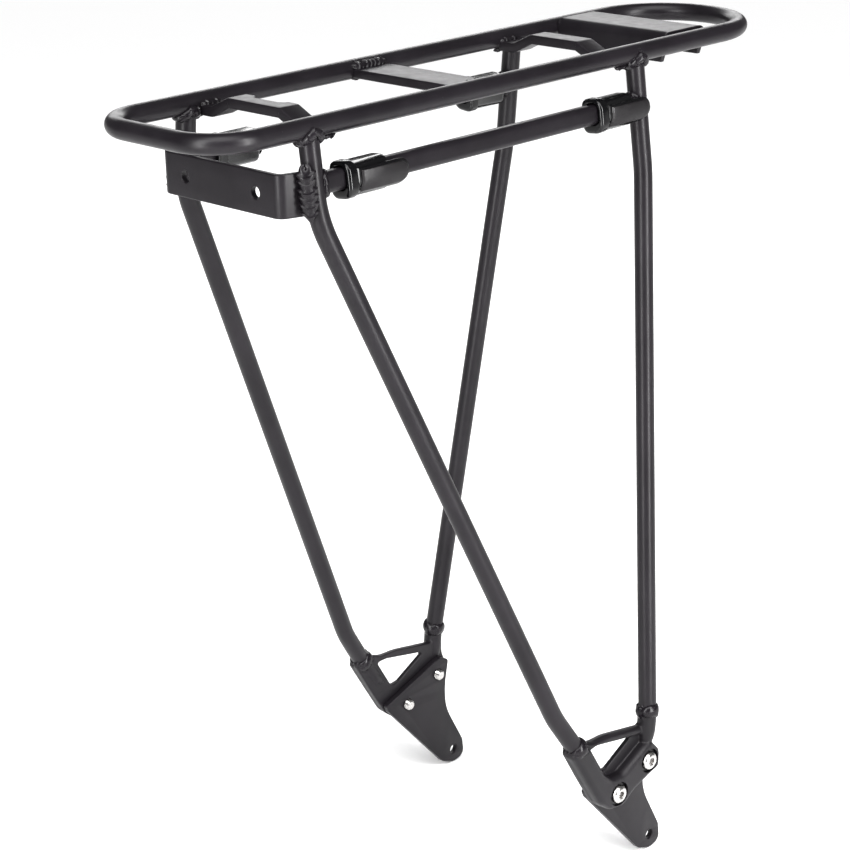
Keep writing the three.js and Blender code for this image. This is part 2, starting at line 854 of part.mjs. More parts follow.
function arch(x, flatHalf, waist) {
  const top = DECK_Z + ARCH_TOP;
  const foot = top - ARCH_RISE;
  const reach = DECK_HALF_W - 2;
  const footHalf = flatHalf + ARCH_SLOPE_L;
  const slope = Math.atan2(ARCH_RISE, ARCH_SLOPE_L);
  const shift = ARCH_T * Math.tan(slope / 2); // keeps the slope's thickness
  const half = [
    [reach, foot, 0],
    [footHalf, foot, 3],
    [flatHalf, top, 3],
  ];
  const under = [
    [flatHalf - shift, top - ARCH_T, 6],
    [footHalf - shift, foot - ARCH_T, 6],
    [reach, foot - ARCH_T, 0],
  ];
  const mirror = (list) => list.map(([y, z, r]) => [-y, z, r]).reverse();
  const outline = rounded(
    [...half, ...mirror(half), ...mirror(under), ...under],
    4,
  );
  let solid = alongX(outline, [], x, ARCH_W).subtract(bothRails());
  for (const leg of [legCutter(FRONT_LEG_X), legCutter(REAR_LEG_X)])
    solid = solid.subtract(leg).subtract(leg.mirror([0, 1, 0]));
  if (waist) {
    const edge = x + ARCH_W / 2;
    const notch = new THREE.Shape(
      rounded([
        [edge - ARCH_WAIST_DEPTH, -ARCH_WAIST_HALF, 2.5],
        [edge + 5, -ARCH_WAIST_HALF - 7, 0],
        [edge + 5, ARCH_WAIST_HALF + 7, 0],
        [edge - ARCH_WAIST_DEPTH, ARCH_WAIST_HALF, 2.5],
      ]),
    );
    const g = new THREE.ExtrudeGeometry(notch, {
      depth: 20,
      bevelEnabled: false,
    });
    g.translate(0, 0, top - 12);
    solid = solid.subtract(toSolid(g));
  }
  return solid;
}

function middlePlate() {
  const top = DECK_Z + MID_PLATE_TOP;
  const reach = DECK_HALF_W - 2;
  const outline = rounded(
    [
      [-reach, top - MID_PLATE_T, 0],
      [reach, top - MID_PLATE_T, 0],
      [reach, top, 0],
      [-reach, top, 0],
    ],
    1,
  );
  return alongX(outline, [], MID_PLATE_X, MID_PLATE_W).subtract(bothRails());
}

// Channel across the front of the deck: flat top, walls turned down.
function frontCover() {
  const top = DECK_Z + COVER_TOP,
    bottom = top - COVER_H;
  const x0 = COVER_X - COVER_W / 2,
    x1 = COVER_X + COVER_W / 2;
  const innerR = COVER_EDGE_R - COVER_WALL;
  const outline = rounded([
    [x0, bottom, 0.8],
    [x0 + COVER_WALL, bottom, 0.8],
    [x0 + COVER_WALL, top - COVER_WALL, innerR],
    [x1 - COVER_WALL, top - COVER_WALL, innerR],
    [x1 - COVER_WALL, bottom, 0.8],
    [x1, bottom, 0.8],
    [x1, top, COVER_EDGE_R],
    [x0, top, COVER_EDGE_R],
  ]);
  const channel = alongY(outline, [], COVER_HALF_W, COVER_HALF_W * 2);
  const w = COVER_HALF_W;
  const ends = alongX(
    rounded([
      [-w + 3, bottom - 1, 3],
      [w - 3, bottom - 1, 3],
      [w, bottom + 9, 2],
      [w, top + 1, 0],
      [-w, top + 1, 0],
      [-w, bottom + 9, 2],
    ]),
    [],
    COVER_X,
    COVER_W + 4,
  );
  return channel.intersect(ends).subtract(bothRails());
}

function lightBracket() {
  const mid = BRACKET_X + BRACKET_T / 2;
  const legY = -onSide(REAR_LEG_X, BRACKET_Z).y;
  const endY = legY - BRACKET_END_INSET;
  const halfW = legY - BRACKET_INSET;
  const path = bentPath(
    [
      [REAR_LEG_X, -endY],
      [mid, -halfW, BRACKET_BEND_R],
      [mid, halfW, BRACKET_BEND_R],
      [REAR_LEG_X, endY],
    ],
    12,
  );
  const section = boxSection(BRACKET_T, BRACKET_H, 0.5, 2).map((p) => [
    p.x,
    p.y,
  ]);
  let solid = sweep(section, path, X, Y).translate([0, 0, BRACKET_Z]);
  const leg = legCutter(REAR_LEG_X);
  solid = solid.subtract(leg).subtract(leg.mirror([0, 1, 0]));
  for (const y of [-LIGHT_HOLE_PITCH / 2, LIGHT_HOLE_PITCH / 2])
    solid = solid.subtract(
      bar(
        [BRACKET_X - 10, y, BRACKET_Z],
        [BRACKET_X + 10, y, BRACKET_Z],
        LIGHT_HOLE_R,
        32,
      ),
    );
  // what is left beyond a leg is no part of the strap
  const bodies = solid.decompose();
  return bodies.reduce((a, b) => (b.volume() > a.volume() ? b : a));
}

const rack = new THREE.Group();
rack.name = "rear_rack";
const deck = new THREE.Group();
deck.name = "deck";
deck.add(
  toMesh("top_loop", topLoop(), COATED),
  toMesh("rear_arch", arch(REAR_ARCH_X, REAR_ARCH_FLAT_HALF, true), COATED),
  toMesh("middle_plate", middlePlate(), COATED),
  toMesh("front_arch", arch(FRONT_ARCH_X, FRONT_ARCH_FLAT_HALF, false), COATED),
  toMesh("front_cover", frontCover(), COATED),
  toMesh("light_bracket", lightBracket(), COATED),
);
rack.add(deck, sideGroup("right"), sideGroup("left"));

export default rack;
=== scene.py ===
"""Looks of a welded bicycle rear rack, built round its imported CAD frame."""

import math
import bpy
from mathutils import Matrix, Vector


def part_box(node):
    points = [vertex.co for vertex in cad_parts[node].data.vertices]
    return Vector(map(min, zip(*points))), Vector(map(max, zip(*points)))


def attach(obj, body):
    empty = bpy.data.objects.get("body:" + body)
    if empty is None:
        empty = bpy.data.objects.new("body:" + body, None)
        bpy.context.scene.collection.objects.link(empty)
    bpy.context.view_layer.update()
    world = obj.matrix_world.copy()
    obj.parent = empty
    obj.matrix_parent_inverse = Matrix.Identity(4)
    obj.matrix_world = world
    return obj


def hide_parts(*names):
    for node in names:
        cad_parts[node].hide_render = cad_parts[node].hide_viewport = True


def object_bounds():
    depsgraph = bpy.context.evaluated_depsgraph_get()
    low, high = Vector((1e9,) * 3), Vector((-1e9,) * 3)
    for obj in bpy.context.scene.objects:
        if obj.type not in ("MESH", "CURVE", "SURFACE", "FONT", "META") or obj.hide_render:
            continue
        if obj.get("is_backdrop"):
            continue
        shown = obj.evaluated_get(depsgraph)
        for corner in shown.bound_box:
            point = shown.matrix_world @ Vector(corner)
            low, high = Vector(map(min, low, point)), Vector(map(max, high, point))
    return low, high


bl_info = {
    "name": "Bicycle rear rack",
    "version": (1, 0, 0),
    "blender": (4, 5, 0),
    "location": "View3D > Sidebar > Rear rack",
    "description": "Builds the finished pieces and materials of a welded bicycle rear rack",
    "category": "Object",
}

import bmesh
import bpy
from bpy.props import FloatProperty, FloatVectorProperty, PointerProperty, StringProperty
from mathutils import Matrix, Vector

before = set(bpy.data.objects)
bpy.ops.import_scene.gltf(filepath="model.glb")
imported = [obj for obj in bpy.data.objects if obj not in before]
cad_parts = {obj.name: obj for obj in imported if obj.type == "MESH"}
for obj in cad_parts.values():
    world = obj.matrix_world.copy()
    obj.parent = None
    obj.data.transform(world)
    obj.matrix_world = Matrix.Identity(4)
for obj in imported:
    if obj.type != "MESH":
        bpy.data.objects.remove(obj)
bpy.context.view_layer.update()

MM = 0.001
X, Y, Z = Vector((1, 0, 0)), Vector((0, 1, 0)), Vector((0, 0, 1))
SIDES = ("right", "left")



def box_of(node):
    """A CAD node's lowest and highest corners, in millimetres."""
    return [Vector(corner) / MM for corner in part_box(node)]


# Sizes that the frame itself gives, in millimetres.
LOOP_LOW, LOOP_HIGH = box_of("top_loop")
ROD_R = (LOOP_HIGH.z - LOOP_LOW.z) / 2
DECK_Z = (LOOP_HIGH.z + LOOP_LOW.z) / 2
DECK_HALF_W = LOOP_HIGH.y - ROD_R
LOOP_REAR_X = LOOP_LOW.x + ROD_R
LOOP_FRONT_X = LOOP_HIGH.x - ROD_R
PLATE_LOW, PLATE_HIGH = box_of("foot_plate_right")
PLATE_IN_Y = -PLATE_HIGH.y
PLATE_T = PLATE_HIGH.y - PLATE_LOW.y

# Fits between neighbours, in millimetres.
PLATE_GAP = 0.3  # between an eyelet plate and its casting
HOLE_PLAY = 0.3  # between a screw and its holes, and between a clip and its bar
STRIP_BITE = 0.6  # how far a strip's ends go into the rails


# ------------------------------------------------------------------ settings
def size(name, default, text):
    """A length property, kept in millimetres."""
    return FloatProperty(name=name, description=text + ", in mm", default=default, precision=2)


def colour(name, default, text):
    """A colour property that holds an sRGB hex value."""
    return StringProperty(name=name, description=text + ", as an sRGB hex value", default=default)


class RackRodSizes(bpy.types.PropertyGroup):
    """Rods of the loop, legs and side bars."""

    rear_corner: size("Rear corner radius", 24, "Bend radius of the loop's rear corners")
    front_corner: size("Front corner radius", 42, "Bend radius of the loop's front corners")
    front_leg_x: size("Front leg", 25.2, "Place of the front legs along the deck")
    front_bend_drop: size("Front bend drop", 62, "Depth of the front legs' bend below the rail")
    front_foot_x: size("Front foot X", -7.1, "Lower end of the front legs")
    front_foot_z: size("Front foot Z", 86, "Lower end of the front legs")
    rear_leg_x: size("Rear leg", -206.5, "Place of the rear legs along the deck")
    rear_bend_drop: size("Rear bend drop", 42, "Depth of the rear legs' upper bend below the rail")
    knee_x: size("Knee X", -81.8, "Lower bend of the rear legs")
    knee_z: size("Knee Z", 104, "Lower bend of the rear legs")
    rear_foot_x: size("Rear foot X", -69.4, "Lower end of the rear legs")
    rear_foot_z: size("Rear foot Z", 84.5, "Lower end of the rear legs")
    foot_half_w: size("Foot half width", 82.3, "Legs' lower ends from the centre plane")
    bar_drop: size("Side bar drop", 26.2, "Side bars below the rails")
    bar_w: size("Side bar width", 8, "Width of the side bars' section")
    bar_h: size("Side bar height", 10.5, "Height of the side bars' section")
    bar_corner: size("Side bar corner", 3, "Corner radius of the side bars' section")


class RackPlateSizes(bpy.types.PropertyGroup):
    """Strips, plates and brackets."""

    arch_w: size("Arch width", 12.5, "Width of the arched strips")
    arch_t: size("Arch thickness", 5, "Thickness of the arched strips")
    arch_top: size("Arch top", 5.2, "Top of the arches above the rail's axis")
    arch_rise: size("Arch rise", 6, "Rise of the arches' middle above their ends")
    arch_slope: size("Arch slope", 12.5, "Run of each slope of an arch")
    rear_arch_half: size("Rear arch flat", 18.5, "Half width of the rear arch's flat middle")
    front_arch_half: size("Front arch flat", 16.5, "Half width of the front arch's flat middle")
    notch_half: size("Notch", 8.5, "Half length of the notch in the rear arch")
    notch_depth: size("Notch depth", 3.4, "Depth of the notch in the rear arch")
    bracket_h: size("Bracket height", 21, "Height of the light bracket")
    bracket_t: size("Bracket thickness", 3, "Thickness of the light bracket")
    light_pitch: size("Light hole pitch", 50, "Distance between the light bracket's holes")
    light_hole_r: size("Light hole radius", 3, "Radius of the light bracket's holes")
    cover_wall: size("Cover wall", 3, "Wall of the front cover")
    edge: size("Edge radius", 0.7, "Rounding of sawn and stamped edges")


class RackClipSizes(bpy.types.PropertyGroup):
    """Plastic clips on the side bars."""

    width: size("Clip width", 13, "Width of the sleeve")
    height: size("Clip height", 17, "Height of the sleeve")
    corner: size("Clip corner", 3.6, "Corner radius of the sleeve")
    drop: size("Clip drop", 1, "Sleeve's centre below the side bar's")
    sleeve: size("Sleeve length", 27.5, "Length of the closed sleeve")
    lobe: size("Collar length", 6, "Length of the thicker rear collar")
    lobe_grow: size("Collar height", 0.6, "How far the collar stands out")
    wall_l: size("Outer wall length", 38.5, "Length of the wall that runs on past the sleeve")
    wall_h: size("Outer wall height", 12.8, "Height of that wall")
    wall_drop: size("Outer wall drop", 2.3, "Its centre below the side bar's")
    wall_in: size("Outer wall inner face", 5.6, "Its inner face from the frame's plane")
    wall_out: size("Outer wall outer face", 7.6, "Its outer face from the frame's plane")
    pad_start: size("Pad start", 7.5, "Rear end of the pad from the clip's rear end")
    pad_l: size("Pad length", 29, "Length of the pad")
    pad_h: size("Pad height", 10.4, "Height of the pad")
    pad_out: size("Pad face", 8.7, "Outer face of the pad from the frame's plane")


class RackFootSizes(bpy.types.PropertyGroup):
    """Castings, plates and screws at the feet."""

    web_t: size("Web thickness", 3, "Thin inner layer of the casting")
    pad_t: size("Seat thickness", 6, "Casting's thickness under the washers")
    lug_t: size("Lug thickness", 9.2, "Casting's thickness round the washers and along its arm")
    counterbore_r: size("Counterbore radius", 7, "Counterbores that the washers sit in")
    stub_r: size("Stub radius", 5.3, "Stubs that carry the legs")
    eyelet_r: size("Eyelet radius", 2.8, "Hole for the dropout bolt")
    screw_r: size("Screw radius", 3, "Shank of the screws")
    head_r: size("Head radius", 5.25, "Head of the screws")
    head_h: size("Head height", 3.3, "Height of the screws' heads")
    tip: size("Screw tip", 2.6, "Length of the screws beyond the plate")
    washer_r: size("Washer radius", 6.7, "Outer radius of the washers")
    washer_t: size("Washer thickness", 1.5, "Thickness of the washers")


class RackColours(bpy.types.PropertyGroup):
    """Finishes."""

    coat: colour("Powder coat", "#171418", "Coat on rods and plates")
    coat_light: colour("Powder coat, thin", "#211e22", "Coat where it lies thin")
    cast: colour("Coated casting", "#181619", "Coat on the castings")
    gloss: colour("Gloss plastic", "#070709", "Sleeves of the clips")
    satin: colour("Satin plastic", "#171517", "Pads of the clips")
    steel: colour("Stainless steel", "#cfcdcb", "Screws")
    washer: colour("Washer", "#0d0c0e", "Washers")
    floor: colour("Floor", "#fbfbfb", "Studio floor")


class RackStageSizes(bpy.types.PropertyGroup):
    """Camera and lights."""

    camera_at: FloatVectorProperty(
        name="Camera",
        description="Place of the camera",
        default=(-0.9031, -0.8144, 0.6628),
        subtype="TRANSLATION",
        unit="LENGTH",
    )
    looks_at: FloatVectorProperty(
        name="Target",
        description="Point the camera looks at",
        default=(-0.0454, 0.0473, 0.2316),
        subtype="TRANSLATION",
        unit="LENGTH",
    )
    roll: FloatProperty(
        name="Roll", description="Camera's roll", default=math.radians(1.448), subtype="ANGLE"
    )
    lens: FloatProperty(
        name="Lens", description="Focal length on a 36 mm sensor", default=97.9, unit="CAMERA"
    )
    fill: FloatProperty(
        name="Fill", description="Strength of the even light from all round", default=0.22, min=0
    )
    overhead: FloatProperty(
        name="Overhead", description="Strength of the soft overhead light", default=2.9, min=0
    )
    back: FloatProperty(
        name="Back softbox", description="Power of the light beyond the rack", default=13, min=0, unit="POWER"
    )
    strip_rear: FloatProperty(
        name="Rear strip", description="Power of the light behind the rack", default=15, min=0, unit="POWER"
    )
    strip_right: FloatProperty(
        name="Right strip", description="Power of the light on the right", default=24, min=0, unit="POWER"
    )


# ------------------------------------------------------------------ materials
def linear(hex_value):
    """Turns an sRGB hex value into linear RGBA."""
    parts = [int(hex_value[i : i + 2], 16) / 255 for i in (1, 3, 5)]
    return tuple(c / 12.92 if c <= 0.04045 else ((c + 0.055) / 1.055) ** 2.4 for c in parts) + (1.0,)


def add_node(tree, kind, inputs=None, stops=(), **settings):
    """Adds a node. Inputs are values, or sockets to link from, and stops are
    the two (place, colour) ends of a colour ramp."""
    node = tree.nodes.new(kind)
    for key, value in settings.items():
        setattr(node, key, value)
    for key, value in (inputs or {}).items():
        if isinstance(value, bpy.types.NodeSocket):
            tree.links.new(value, node.inputs[key])
        else:
            node.inputs[key].default_value = value
    for i, (place, value) in enumerate(stops):
        node.color_ramp.elements[i].position = place
        node.color_ramp.elements[i].color = value
    return node


def new_material(name):
    """An empty node material and its tree."""
    material = bpy.data.materials.new(name)
    material.use_nodes = True
    tree = material.node_tree
    tree.nodes.clear()
    return material, tree


def grey(v):
    """A grey for a ramp that drives a value."""
    return (v, v, v, 1.0)


def coated_aluminium(name, base, light, rough, peel_mm, peel_height_mm, specks=True):
    """Aluminium under a sprayed and baked powder coat: satin black, with the
    soft ripple called orange peel, cloudier where the coat lies thin, and a
    few grains of dust under the film."""
    material, tree = new_material(name)
    where = add_node(tree, "ShaderNodeTexCoord").outputs["Object"]
    # Clouds about 35 mm across, where the film's thickness drifts.
    clouds = add_node(
        tree,
        "ShaderNodeTexNoise",
        {"Vector": where, "Scale": 1 / (35 * MM), "Detail": 4.0, "Roughness": 0.6},
    )
    body = add_node(
        tree,
        "ShaderNodeValToRGB",
        {"Fac": clouds.outputs["Fac"]},
        [(0.35, linear(base)), (0.75, linear(light))],
    )
    surface = body.outputs["Color"]
    # Handling marks a few millimetres across that dull the film.
    marks = add_node(
        tree,
        "ShaderNodeTexNoise",
        {"Vector": where, "Scale": 1 / (6 * MM), "Detail": 5.0, "Roughness": 0.65},
    )
    dull = add_node(
        tree,
        "ShaderNodeValToRGB",
        {"Fac": marks.outputs["Fac"]},
        [(0.3, grey(rough - 0.03)), (0.72, grey(rough + 0.05))],
    )
    # Orange peel; the real ripple is finer, and is drawn coarse enough to show.
    peel = add_node(
        tree,
        "ShaderNodeTexNoise",
        {"Vector": where, "Scale": 1 / (peel_mm * MM), "Detail": 2.0, "Roughness": 0.5},
    )
    bump = add_node(
        tree,
        "ShaderNodeBump",
        {"Height": peel.outputs["Fac"], "Distance": peel_height_mm * MM, "Strength": 0.5},
    )
    if specks:
        # Dust grains 0.25 mm across, about 9 mm apart.
        grains = add_node(tree, "ShaderNodeTexVoronoi", {"Vector": where, "Scale": 1 / (9 * MM)})
        dots = add_node(
            tree,
            "ShaderNodeValToRGB",
            {"Fac": grains.outputs["Distance"]},
            [(0.0, grey(0.55)), (0.026, grey(0.0))],
        )
        mix = add_node(
            tree,
            "ShaderNodeMix",
            {"Factor": dots.outputs["Color"], "A": surface, "B": linear("#6f6a6e")},
            data_type="RGBA",
        )
        surface = mix.outputs["Result"]
    shader = add_node(
        tree,
        "ShaderNodeBsdfPrincipled",
        {
            "Base Color": surface,
            "Roughness": dull.outputs["Color"],
            "Normal": bump.outputs["Normal"],
            "IOR": 1.5,
            # Matting grains in the film scatter part of the mirror reflection.
            "Specular IOR Level": 0.3,
        },
    )
    add_node(tree, "ShaderNodeOutputMaterial", {"Surface": shader.outputs["BSDF"]})
    return material


def moulded_plastic(name, base, rough, grain_mm, grain_height_mm, specular=0.5):
    """Injection-moulded black plastic: the mould's polish or spark-eroded
    grain, with faint scuffs that catch the light."""
    material, tree = new_material(name)
    where = add_node(tree, "ShaderNodeTexCoord").outputs["Object"]
    grain = add_node(
        tree, "ShaderNodeTexNoise", {"Vector": where, "Scale": 1 / (grain_mm * MM), "Detail": 3.0}
    )
    bump = add_node(
        tree,
        "ShaderNodeBump",
        {"Height": grain.outputs["Fac"], "Distance": grain_height_mm * MM, "Strength": 0.5},
    )
    # Scuffs about 4 mm across.
    scuffs = add_node(
        tree,
        "ShaderNodeTexNoise",
        {"Vector": where, "Scale": 1 / (4 * MM), "Detail": 6.0, "Roughness": 0.7},
    )
    dull = add_node(
        tree,
        "ShaderNodeValToRGB",
        {"Fac": scuffs.outputs["Fac"]},
        [(0.4, grey(rough)), (0.75, grey(rough + 0.14))],
    )
    shader = add_node(
        tree,
        "ShaderNodeBsdfPrincipled",
        {
            "Base Color": linear(base),
            "Roughness": dull.outputs["Color"],
            "Normal": bump.outputs["Normal"],
            "IOR": 1.53,
            "Specular IOR Level": specular,
        },
    )
    add_node(tree, "ShaderNodeOutputMaterial", {"Surface": shader.outputs["BSDF"]})
    return material


def stainless_steel(name, base):
    """Cold-headed and tumbled stainless steel: bright, with a slightly uneven
    polish that clouds it in spots about 1.5 mm across."""
    material, tree = new_material(name)
    where = add_node(tree, "ShaderNodeTexCoord").outputs["Object"]
    polish = add_node(
        tree,
        "ShaderNodeTexNoise",
        {"Vector": where, "Scale": 1 / (1.5 * MM), "Detail": 5.0, "Roughness": 0.6},
    )
    spots = {"Fac": polish.outputs["Fac"]}
    dull = add_node(tree, "ShaderNodeValToRGB", spots, [(0.3, grey(0.2)), (0.75, grey(0.36))])
    tint = add_node(tree, "ShaderNodeValToRGB", spots, [(0.2, linear(base)), (0.8, linear("#b4b2b1"))])
    bump = add_node(
        tree,
        "ShaderNodeBump",
        {"Height": polish.outputs["Fac"], "Distance": 0.02 * MM, "Strength": 0.4},
    )
    shader = add_node(
        tree,
        "ShaderNodeBsdfPrincipled",
        {
            "Base Color": tint.outputs["Color"],
            "Metallic": 1.0,
            "Roughness": dull.outputs["Color"],
            "Normal": bump.outputs["Normal"],
        },
    )
    add_node(tree, "ShaderNodeOutputMaterial", {"Surface": shader.outputs["BSDF"]})
    return material


def seamless_floor(name, base):
    """Painted studio board: matt and almost white, with a paper-like tooth."""
    material, tree = new_material(name)
    where = add_node(tree, "ShaderNodeTexCoord").outputs["Object"]
    tooth = add_node(
        tree, "ShaderNodeTexNoise", {"Vector": where, "Scale": 1 / (2 * MM), "Detail": 2.0}
    )
    tint = add_node(
        tree,
        "ShaderNodeValToRGB",
        {"Fac": tooth.outputs["Fac"]},
        [(0.0, linear(base)), (1.0, linear("#f7f7f7"))],
    )
    shader = add_node(
        tree, "ShaderNodeBsdfPrincipled", {"Base Color": tint.outputs["Color"], "Roughness": 0.95}
    )
    add_node(tree, "ShaderNodeOutputMaterial", {"Surface": shader.outputs["BSDF"]})
    return material


MATERIALS = {}


def finish_of(name):
    """The named finish, made the first time it is asked for."""
    if name not in MATERIALS:
        c = bpy.context.scene.rack_colours
        coat = (c.coat, c.coat_light)
        kinds = {
            "powder_coated_rod": (coated_aluminium, *coat, 0.34, 1.6, 0.02),
            "powder_coated_plate": (coated_aluminium, *coat, 0.38, 1.4, 0.025),
            # The coat flows thinner and glossier over a weld's ripples.
            "powder_coated_weld": (coated_aluminium, *coat, 0.26, 1.0, 0.05, False),
            # Sand-cast skin under the coat: coarser and duller than drawn rod.
            "powder_coated_casting": (coated_aluminium, c.cast, c.coat_light, 0.42, 1.1, 0.06),
            "polished_abs": (moulded_plastic, c.gloss, 0.12, 2.5, 0.01, 0.4),
            "grained_abs": (moulded_plastic, c.satin, 0.3, 0.5, 0.02, 0.3),
            "stainless_steel": (stainless_steel, c.steel),
            "black_nylon": (moulded_plastic, c.washer, 0.42, 0.8, 0.01),
            "painted_board": (seamless_floor, c.floor),
        }
        make, *settings = kinds[name]
        MATERIALS[name] = make(name, *settings)
    return MATERIALS[name]


# ------------------------------------------------------------- mesh helpers
def rounded(corners, steps=6):
    """A polygon whose (x, y, radius) corners are rounded by arcs."""
    out = []
    for i, (x, y, r) in enumerate(corners):
        here = Vector((x, y))
        a = Vector(corners[i - 1][:2]) - here
        b = Vector(corners[(i + 1) % len(corners)][:2]) - here
        la, lb = a.length, b.length
        a.normalize()
        b.normalize()
        half = math.acos(max(-1, min(1, a.dot(b)))) / 2
        cut = min(r / math.tan(half), la * 0.49, lb * 0.49) if r > 0 else 0
        radius = cut * math.tan(half)
        turn = math.pi - 2 * half
        if radius * turn < 0.05:
            out.append(here)
            continue
        centre = here + (a + b).normalized() * (radius / math.sin(half))
        start, end = here + a * cut - centre, here + b * cut - centre
        angle = math.atan2(start.x * end.y - start.y * end.x, start.dot(end))
        count = max(1, round(steps * turn / (math.pi / 2)))
        out += [centre + Matrix.Rotation(angle * k / count, 2) @ start for k in range(count + 1)]
    return out


def bent(corners, step=3):
    """(place, direction) along a path through (x, y[, radius]) corners."""
    v = [Vector(c[:2]) for c in corners]
    out = [(v[0], (v[1] - v[0]).normalized())]
    for i in range(1, len(v) - 1):
        t0, t1 = (v[i] - v[i - 1]).normalized(), (v[i + 1] - v[i]).normalized()
        turn = math.atan2(t0.x * t1.y - t0.y * t1.x, t0.dot(t1))
        r = corners[i][2]
        start = v[i] - t0 * (r * math.tan(abs(turn) / 2))
        centre = start + Vector((-t0.y, t0.x)) * math.copysign(r, turn)
        count = max(2, math.ceil(abs(math.degrees(turn)) / step))
        for k in range(count + 1):
            spin = Matrix.Rotation(turn * k / count, 2)
            out.append((centre + spin @ (start - centre), spin @ t0))
    out.append((v[-1], (v[-1] - v[-2]).normalized()))
    return out


def ring_of(r, sides):
    """A circle of points round the origin."""
    angles = [2 * math.pi * k / sides for k in range(sides)]
    return [Vector((r * math.cos(a), r * math.sin(a))) for a in angles]


def rectangle(half_a, half_b, r, steps):
    """A rounded rectangle of points round the origin."""
    signs = ((-1, -1), (1, -1), (1, 1), (-1, 1))
    return rounded([(i * half_a, j * half_b, r) for i, j in signs], steps)


def rings_along(section, stations, e1, e2, origin=Vector()):
    """Places a section (across, up) at each station of a path in a plane."""
    up = e1.cross(e2)
    rings = []
    for p, t in stations:
        base = origin + e1 * p.x + e2 * p.y
        across = e2 * t.x - e1 * t.y
        rings.append([base + across * s.x + up * s.y for s in section])
    return rings


class Shape:
    """Vertices in millimetres and faces, gathered for one piece."""

    def __init__(self):
        self.verts, self.faces = [], []

    def loft(self, rings, closed=False, caps=True):
        """Joins rings of equal point count."""
        n, start = len(rings[0]), len(self.verts)
        for ring in rings:
            self.verts += ring
        last = len(rings) if closed else len(rings) - 1
        for i in range(last):
            a, b = start + i * n, start + ((i + 1) % len(rings)) * n
            self.faces += [(a + k, a + (k + 1) % n, b + (k + 1) % n, b + k) for k in range(n)]
        if caps and not closed:
            end = start + (len(rings) - 1) * n
            self.faces += [tuple(range(start, start + n)), tuple(range(end, end + n))]
        return self

    def add(self, verts, faces):
        """Adds vertices, and faces that count from the first of them."""
        start = len(self.verts)
        self.verts += verts
        self.faces += [tuple(start + i for i in face) for face in faces]
        return self

    def take(self, mesh):
        """Adds a Blender mesh that is in millimetres."""
        return self.add([v.co.copy() for v in mesh.vertices], [p.vertices for p in mesh.polygons])

    def on(self, side):
        """A copy for that side; shapes are drawn for the right."""
        flip = -1 if side == "left" else 1
        return Shape().add([Vector((v.x, flip * v.y, v.z)) for v in self.verts], self.faces)

    def mesh(self, name, scale=MM):
        """The gathered faces as a mesh with its normals facing out."""
        mesh = bpy.data.meshes.new(name)
        mesh.from_pydata([v * scale for v in self.verts], [], self.faces)
        work = bmesh.new()
        work.from_mesh(mesh)
        bmesh.ops.remove_doubles(work, verts=work.verts, dist=1e-4 * scale)
        bmesh.ops.recalc_face_normals(work, faces=work.faces)
        work.to_mesh(mesh)
        work.free()
        return mesh


def plate(outline, holes, thickness, edge, to_world, steps=3):
    """A flat plate with rounded edges, drawn in its own XY and centred on
    Z; to_world places it. Returns a mesh in millimetres."""
    curve = bpy.data.curves.new("plate", "CURVE")
    curve.dimensions, curve.fill_mode = "2D", "BOTH"
    curve.extrude, curve.bevel_depth = thickness / 2 - edge, edge
    curve.bevel_resolution, curve.offset = steps, -edge
    for points, turn in [(outline, 1)] + [(h, -1) for h in holes]:
        area = sum(a.x * b.y - a.y * b.x for a, b in zip(points, points[1:] + points[:1]))
        if area * turn < 0:
            points = points[::-1]
        spline = curve.splines.new("POLY")
        spline.points.add(len(points) - 1)
        for target, p in zip(spline.points, points):
            target.co = (p.x, p.y, 0, 1)
        spline.use_cyclic_u = True
    holder = bpy.data.objects.new("plate", curve)
    mesh = bpy.data.meshes.new_from_object(holder)
    bpy.data.objects.remove(holder)
    bpy.data.curves.remove(curve)
    mesh.transform(to_world)
    return mesh


def basis(e1, e2, e3, origin):
    """A matrix from a drawing's axes to the row frame."""
    m = Matrix((e1, e2, e3)).transposed().to_4x4()
    m.translation = origin
    return m


def put(name, shape, finish, node=None, side=None, body="rack", sharp=32):
    """Makes a piece from a shape or a finished mesh, shades it and fixes it
    to its body; it stands for the CAD node. A side is put on both names."""
    if side:
        name, node, shape = f"{name}_{side}", node and f"{node}_{side}", shape.on(side)
    mesh = shape.mesh(name) if isinstance(shape, Shape) else shape
    piece = bpy.data.objects.new(name, mesh)
    bpy.context.scene.collection.objects.link(piece)
    mesh.materials.clear()
    mesh.materials.append(finish_of(finish))
    mesh.shade_smooth()
    mesh.set_sharp_from_angle(angle=math.radians(sharp))
    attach(piece, body)
    if node:
        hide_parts(node)


def apply_modifiers(name, mesh, modifiers):
    """The mesh after (kind, settings) modifiers."""
    holder = bpy.data.objects.new(name, mesh)
    bpy.context.scene.collection.objects.link(holder)
    for kind, settings in modifiers:
        modifier = holder.modifiers.new(kind, kind)
        for key, value in settings.items():
            setattr(modifier, key, value)
    graph = bpy.context.evaluated_depsgraph_get()
    done = bpy.data.meshes.new_from_object(holder.evaluated_get(graph))
    bpy.data.objects.remove(holder)
    done.name = name
    return done


def bored(name, mesh, drills):
    """The mesh, less the turned shapes whose rings are given."""
    cutters = [bpy.data.objects.new("drill", Shape().loft(rings).mesh("drill", 1.0)) for rings in drills]
    for cutter in cutters:
        bpy.context.scene.collection.objects.link(cutter)
    cut = {"operation": "DIFFERENCE", "solver": "EXACT"}
    done = apply_modifiers(name, mesh, [("BOOLEAN", {"object": c, **cut}) for c in cutters])
    for cutter in cutters:
        bpy.data.objects.remove(cutter)
    return done


# -------------------------------------------------------- the side frames
def rods():
    """The rods' settings."""
    return bpy.context.scene.rack_rods


